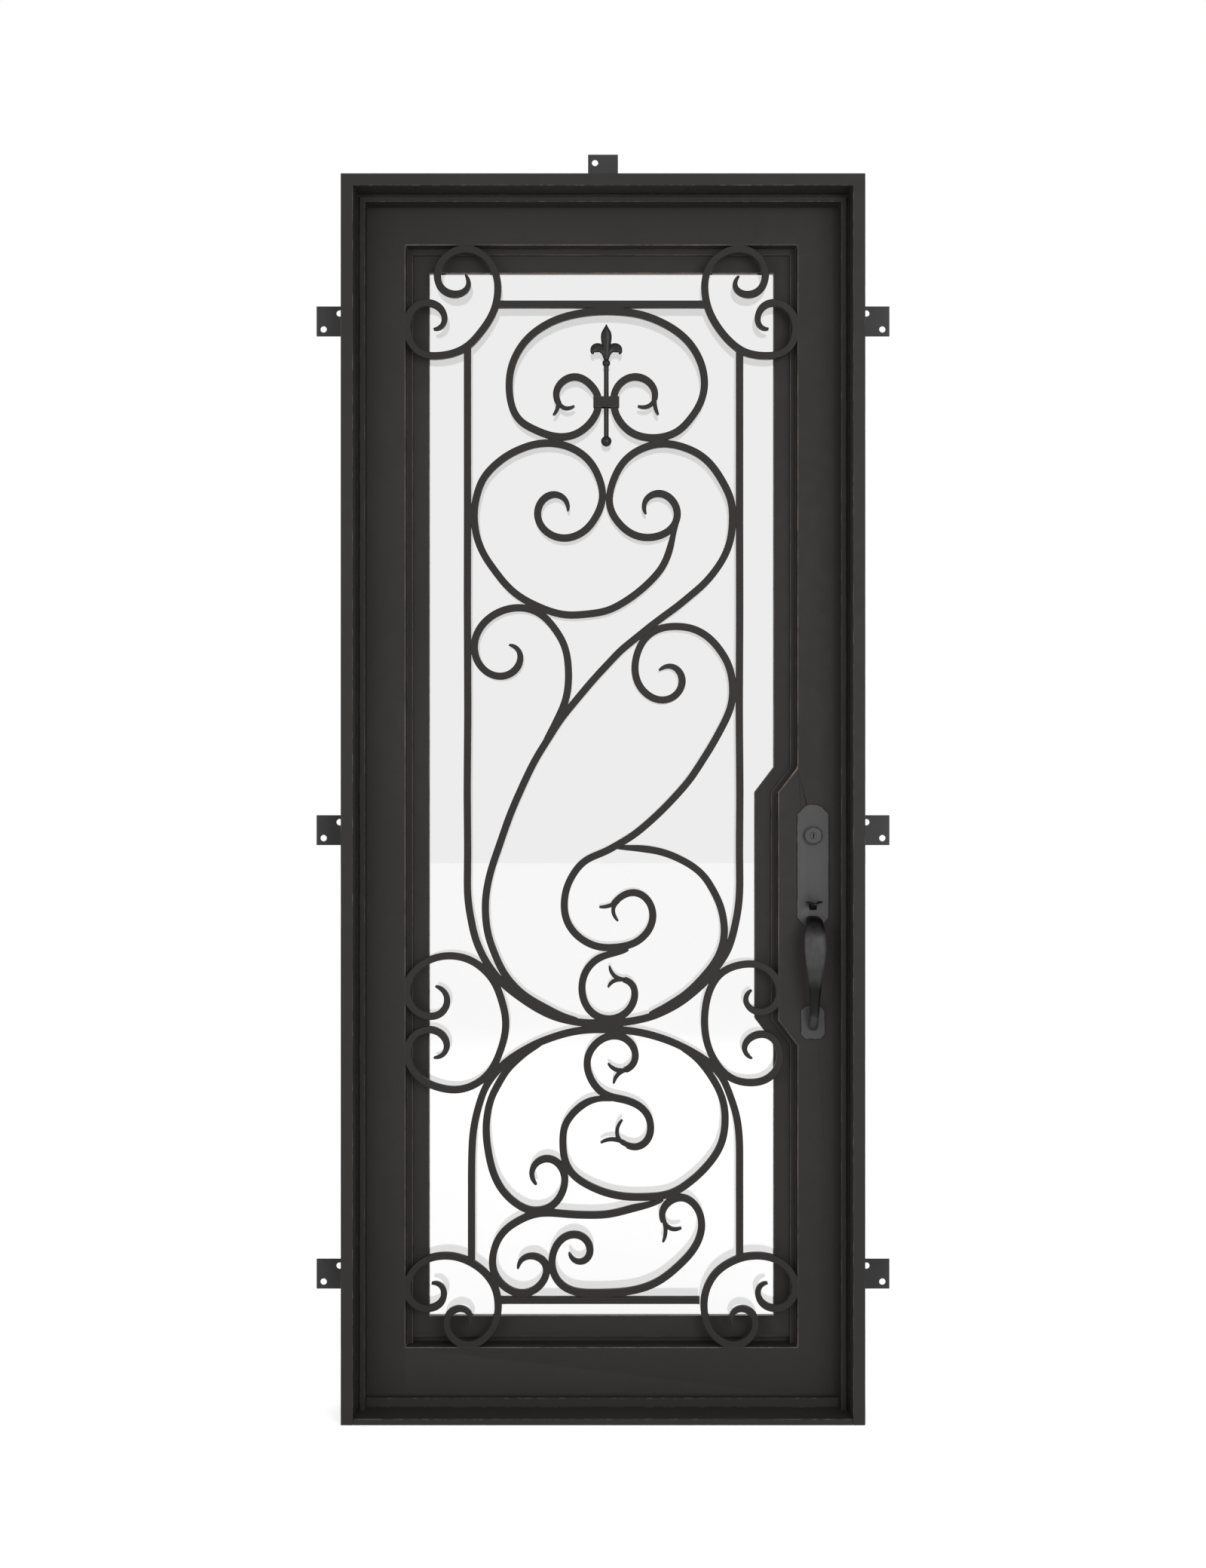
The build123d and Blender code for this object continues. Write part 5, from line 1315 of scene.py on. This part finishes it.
@dataclass
class HandleSet:
    """Plate, lock cylinder, thumb lever, cast grip and the fittings on the house side.

    Attributes:
        nodes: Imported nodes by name.
    """

    nodes: dict[str, bpy.types.Object]

    def grip(self) -> bpy.types.Object:
        """Builds the grip as one casting.

        Its middle line bows out from the plate and back to the foot. Each ring stands square to
        that line: x is half the width and the other way half the thickness, both times a rounded
        rectangle's cosine and sine, so the front is crowned.

        Returns:
            The object.
        """
        low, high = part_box("pull_grip")
        wall, reach, top, foot = high.y, high.y - low.y, high.z, low.z
        rows = [(0.0, top - 5.5 * MM, 13.3, 5.5), (0.25, top - 6.5 * MM, 14.5, 6.0),
                (0.55, top - 12 * MM, 16.8, 6.3), (0.83, top - 34 * MM, 20.8, 6.2),
                (0.895, top - 56 * MM, 22.0, 5.9), (0.89, top - 90 * MM, 19.2, 5.6),
                (0.84, top - 118 * MM, 14.8, 5.4), (0.765, foot + 85 * MM, 11.8, 5.3),
                (0.66, foot + 62 * MM, 10.3, 5.2), (0.43, foot + 28 * MM, 9.1, 5.6),
                (0.2, foot + 12 * MM, 9.0, 6.5), (0.0, foot + 7.2 * MM, 9.0, 7.1)]
        path = smooth_line([(wall - out * reach, z, wide * MM, thick * MM)
                            for out, z, wide, thick in rows], 110)
        wide, thick = circle(40, (0.75, 0.85))
        flat = swept(path[:, :2], path[:, 3:] * thick)
        return grid_object("grip_casting", middle_of("pull_grip")[0] + path[:, 2:3] * wide,
                           np.clip(flat[..., 0], low.y + 0.2 * MM, wall), flat[..., 1])

    def paddle(self) -> bpy.types.Object:
        """Builds the thumb piece's dished paddle.

        Along y from the plate to the nose the half width grows and then rounds off as an ellipse.
        Across it, the height is the middle's plus a dish that grows with the square of x over the
        half width, and the wall is an ellipse across that line.

        Returns:
            The object.
        """
        middle, height, wall = self.thumb_place()
        waist, widest, reach, nose = 7.0 * MM, 17.75 * MM, 40 * MM, 0.4
        straight = 1 - nose
        turn = np.linspace(0.08, np.pi / 2 - 0.02, 16)
        share = np.concatenate([np.linspace(0.0, straight, 14), straight + nose * np.sin(turn)])[:, None]
        swell = waist + (widest - waist) * np.sin(np.clip(share / 0.62, 0, 1) * np.pi / 2)
        rounded = np.sqrt(np.clip(1 - (np.clip(share - straight, 0, 1) / nose) ** 2, 0.0004, 1))
        cos, sin = circle(36)
        rise = (4.6 + 3.6 * share**2) * MM
        dish = (1.5 + 2.8 * share) * MM * cos**2
        return grid_object("thumb_paddle", middle + swell * rounded * cos, wall - 1 * MM - reach * share,
                           height + rise + dish + 1.5 * MM * np.sqrt(rounded) * sin)

    def neck(self) -> bpy.types.Object:
        """Builds the stem that carries the paddle through the plate.

        Rounded rectangles stand square to a line that runs level out of the plate and then up under
        the paddle.

        Returns:
            The object.
        """
        middle, height, wall = self.thumb_place()
        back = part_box("thumb_lever")[1].y
        path = smooth_line([(back, height, 2.4), (wall, height, 2.4), (wall - 7 * MM, height + 0.2 * MM, 2.5),
                            (wall - 14 * MM, height + 1.6 * MM, 2.4),
                            (wall - 22 * MM, height + 4.4 * MM, 1.4)], 40)
        wide, tall = circle(28, (0.5, 0.5))
        flat = swept(path[:, :2], path[:, 2:] * MM * tall)
        return grid_object("thumb_neck", middle + 5.8 * MM * wide, flat[..., 0], flat[..., 1])

    def thumb_place(self) -> tuple[float, float, float]:
        """X of the thumb piece's middle, the height of its stem and Y of the plate's face."""
        return middle_of("thumb_lever")[0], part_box("thumb_lever")[0].z + 2.5 * MM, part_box("handle_plate")[0].y

    def plug(self) -> None:
        """Builds the key plug, with painted shade on the faces inside its keyway."""
        mesh = merged_mesh("key_plug_eased", self.nodes["key_plug"])
        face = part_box("key_plug")[0].y
        half_width, half_height, depth = 1.3 * MM, 4.6 * MM, 9 * MM
        made = Piece("key_plug_eased", Body.KEY, Slot.HANDLE, BRONZE, ("key_plug",), 0.25 * MM).dress(
            link("key_plug_eased", mesh))
        # Painted shade: the inner faces of the keyway take the black rubber finish, where only shade falls
        mesh.materials.append(finished(SEAL_AND_KEYWAY_SHADE, False))
        centre = rows_of(mesh.polygons, "center", 3)
        off = np.abs(centre - middle_of("key_plug"))
        inside = ((off[:, 0] < half_width) & (off[:, 2] < half_height)
                  & (centre[:, 1] > face + 0.3 * MM) & (centre[:, 1] < face + depth))
        mesh.polygons.foreach_set("material_index", np.where(inside, 2, 0))
        LOG.info("%s: %d dark faces in the keyway", made.name, int(inside.sum()))

    def build(self) -> None:
        """Builds the handle set."""
        iron = EasedIron(self.nodes)
        # The grip's finish paints shade in bands by height
        Piece("grip_casting", Body.LEAF, Slot.HANDLE, GRIP_BRONZE_PAINTED_SHADE, ("pull_grip",)).dress(self.grip())
        # Painted shade: the thumb piece is handle bronze, but takes the dark lily paint for the darkness its top
        # faces mirror
        Piece("thumb_paddle", Body.LATCH, Slot.HANDLE, LILY_IRON_AND_THUMB_SHADE, ("thumb_lever",)).dress(self.paddle())
        Piece("thumb_neck", Body.LATCH, Slot.HANDLE, LILY_IRON_AND_THUMB_SHADE).dress(self.neck())
        self.plug()
        for node, ease in (("handle_plate", 1.3), ("cylinder_ring", 0.6), ("grip_base", 1.3),
                           ("inside_plate", 1.3), ("inside_knob", 0.6), ("inside_thumbturn", 0.8)):
            iron.eased(Piece(f"{node}_eased", Body.LEAF, Slot.HANDLE, BRONZE, (node,), ease * MM))


@dataclass
class Seals:
    """Black rubber that the leaf shuts against, held on the back of the stop.

    Attributes:
        inset: Distance of its middle from the stop's inner edge, towards the jamb.
        radius: Half its width.
        depth: Half its thickness, less than half the gap to the leaf.
    """

    inset: float = 6.0 * MM
    radius: float = 3.4 * MM
    depth: float = 1.9 * MM

    def build(self) -> None:
        """Builds the seal.

        An ellipse in the plane across the wall is carried up one side, across the head and down the
        other, and stands on the mitre at the two corners.
        """
        head, sill_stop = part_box("door_stop")[1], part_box("sill_stop")[1]
        edge = sill_stop.x + self.inset
        top = head.z - (head.x - edge)
        path = np.array([(-edge, sill_stop.z), (-edge, top), (edge, top), (edge, sill_stop.z)])
        out = np.array([(-1.0, 0.0), (-1.0, 1.0), (1.0, 1.0), (1.0, 0.0)])
        cos, sin = circle(20)
        flat = path[:, None] + out[:, None] * (self.radius * cos)[:, None]
        Piece("door_seal", Body.FRAME, Slot.FRAME, SEAL_AND_KEYWAY_SHADE).dress(
            grid_object("door_seal", flat[..., 0], head.y + self.depth * (1 + sin), flat[..., 1]))


@dataclass
class Glazing:
    """The pane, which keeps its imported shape."""

    nodes: dict[str, bpy.types.Object]

    def build(self) -> None:
        """Gives the pane its glass."""
        pane = self.nodes["glass"]
        pane.data.materials.clear()
        pane.data.materials.append(finished(PANE, False))
        LOG.info("glass: dressed")


@dataclass
class Studio:
    """Camera, soft lights, pale floor and white surround.

    Attributes:
        distance: Distance of the camera in front of the frame's middle plane.
        height: Height of the lens.
        lens: Focal length in millimetres on a film 36 mm wide.
        aim: Point that the lights face.
        lamp_size: Side of each square light in metres.
        lamps: Name, place and watts of each light.
        ambient: Strength of the surround as a source of light.
        glow: Light that the floor adds to its own colour where it is seen.
        floor_reach: Half the side of the floor in metres.
    """

    distance: float = 4.3162
    height: float = 1.249
    lens: float = 50.0
    aim: tuple[float, float, float] = (0.0, 0.0, 1.25)
    lamp_size: float = 2.6
    lamps: tuple[tuple[str, tuple[float, float, float], float], ...] = (
        ("key_light", (2.3, -5.4, 2.1), 130.0), ("fill_light", (-3.0, -5.4, 1.7), 62.0))
    ambient: float = 0.6
    glow: float = 0.55
    floor_reach: float = 30.0

    def camera(self) -> None:
        """Stands the camera level and square to the door, as in the photograph."""
        data = bpy.data.cameras.new("camera")
        data.lens = self.lens
        data.sensor_width = 36.0
        camera = bpy.data.objects.new("camera", data)
        camera.location = (0.0, -self.distance, self.height)
        camera.rotation_euler = (math.pi / 2, 0.0, 0.0)
        bpy.context.scene.collection.objects.link(camera)
        bpy.context.scene.camera = camera

    def surround(self) -> None:
        """Makes the world: white to the eye and in mirror images, softer as a source of light."""
        graph = Graph("surround", world=True)
        back = graph.add("ShaderNodeBackground")
        back.inputs["Color"].default_value = (1.0, 1.0, 1.0, 1.0)
        graph.feed(back.inputs["Strength"], graph.span(graph.seen(), 0.0, 1.0, self.ambient, 1.0))
        bpy.context.scene.world = graph.close(back)

    def lamp(self, name: str, place: tuple[float, float, float], power: float) -> None:
        """Adds a square soft light aimed at the door's middle.

        Args:
            name: Name of the light.
            place: Where it stands.
            power: Watts.
        """
        data = bpy.data.lights.new(name, "AREA")
        data.size = self.lamp_size
        data.energy = power
        lamp = bpy.data.objects.new(name, data)
        lamp.location = place
        aim = np.array(self.aim) - np.array(place)
        level = math.hypot(aim[0], aim[1])
        lamp.rotation_euler = (math.pi / 2 + math.atan2(aim[2], level), 0.0, math.atan2(-aim[0], aim[1]))
        bpy.context.scene.collection.objects.link(lamp)

    def floor(self) -> None:
        """Lays a wide pale floor that keeps the door's shadow."""
        side = self.floor_reach
        mesh = bpy.data.meshes.new("studio_floor")
        corners = [(-side, -side, 0), (side, -side, 0), (side, side, 0), (-side, side, 0)]
        mesh.from_pydata(corners, [], [(0, 1, 2, 3)])
        made = link("studio_floor", mesh)
        graph = Graph("studio_floor")
        shader = graph.add("ShaderNodeBsdfDiffuse")
        speck = graph.span(graph.noise(graph.place(), 3.0, 3.0), 0.3, 0.7)
        graph.feed(shader.inputs["Color"], graph.blend(speck, (0.9, 0.9, 0.9), (0.92, 0.92, 0.92)))
        glow = graph.add("ShaderNodeEmission")
        graph.feed(glow.inputs["Strength"], graph.join("MULTIPLY", graph.seen(), self.glow))
        both = graph.add("ShaderNodeAddShader")
        graph.feed(both.inputs[0], shader.outputs["BSDF"])
        graph.feed(both.inputs[1], glow.outputs["Emission"])
        made.data.materials.append(graph.close(both))

    def build(self) -> None:
        """Builds the studio."""
        bpy.context.scene.view_settings.view_transform = "Standard"
        self.camera()
        self.surround()
        for lamp in self.lamps:
            self.lamp(*lamp)
        self.floor()


def main() -> None:
    """Builds the door, piece by piece, and the studio round it."""
    logging.basicConfig(level=logging.INFO, format="%(name)s: %(message)s")
    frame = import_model()
    nodes = frame["nodes"]
    welds = Scrollwork(nodes).build()
    EasedIron(nodes, welds).build()
    Finial(nodes).build()
    HandleSet(nodes).build()
    Seals().build()
    Glazing(nodes).build()
    Studio().build()


if __name__ == "__main__":
    main()
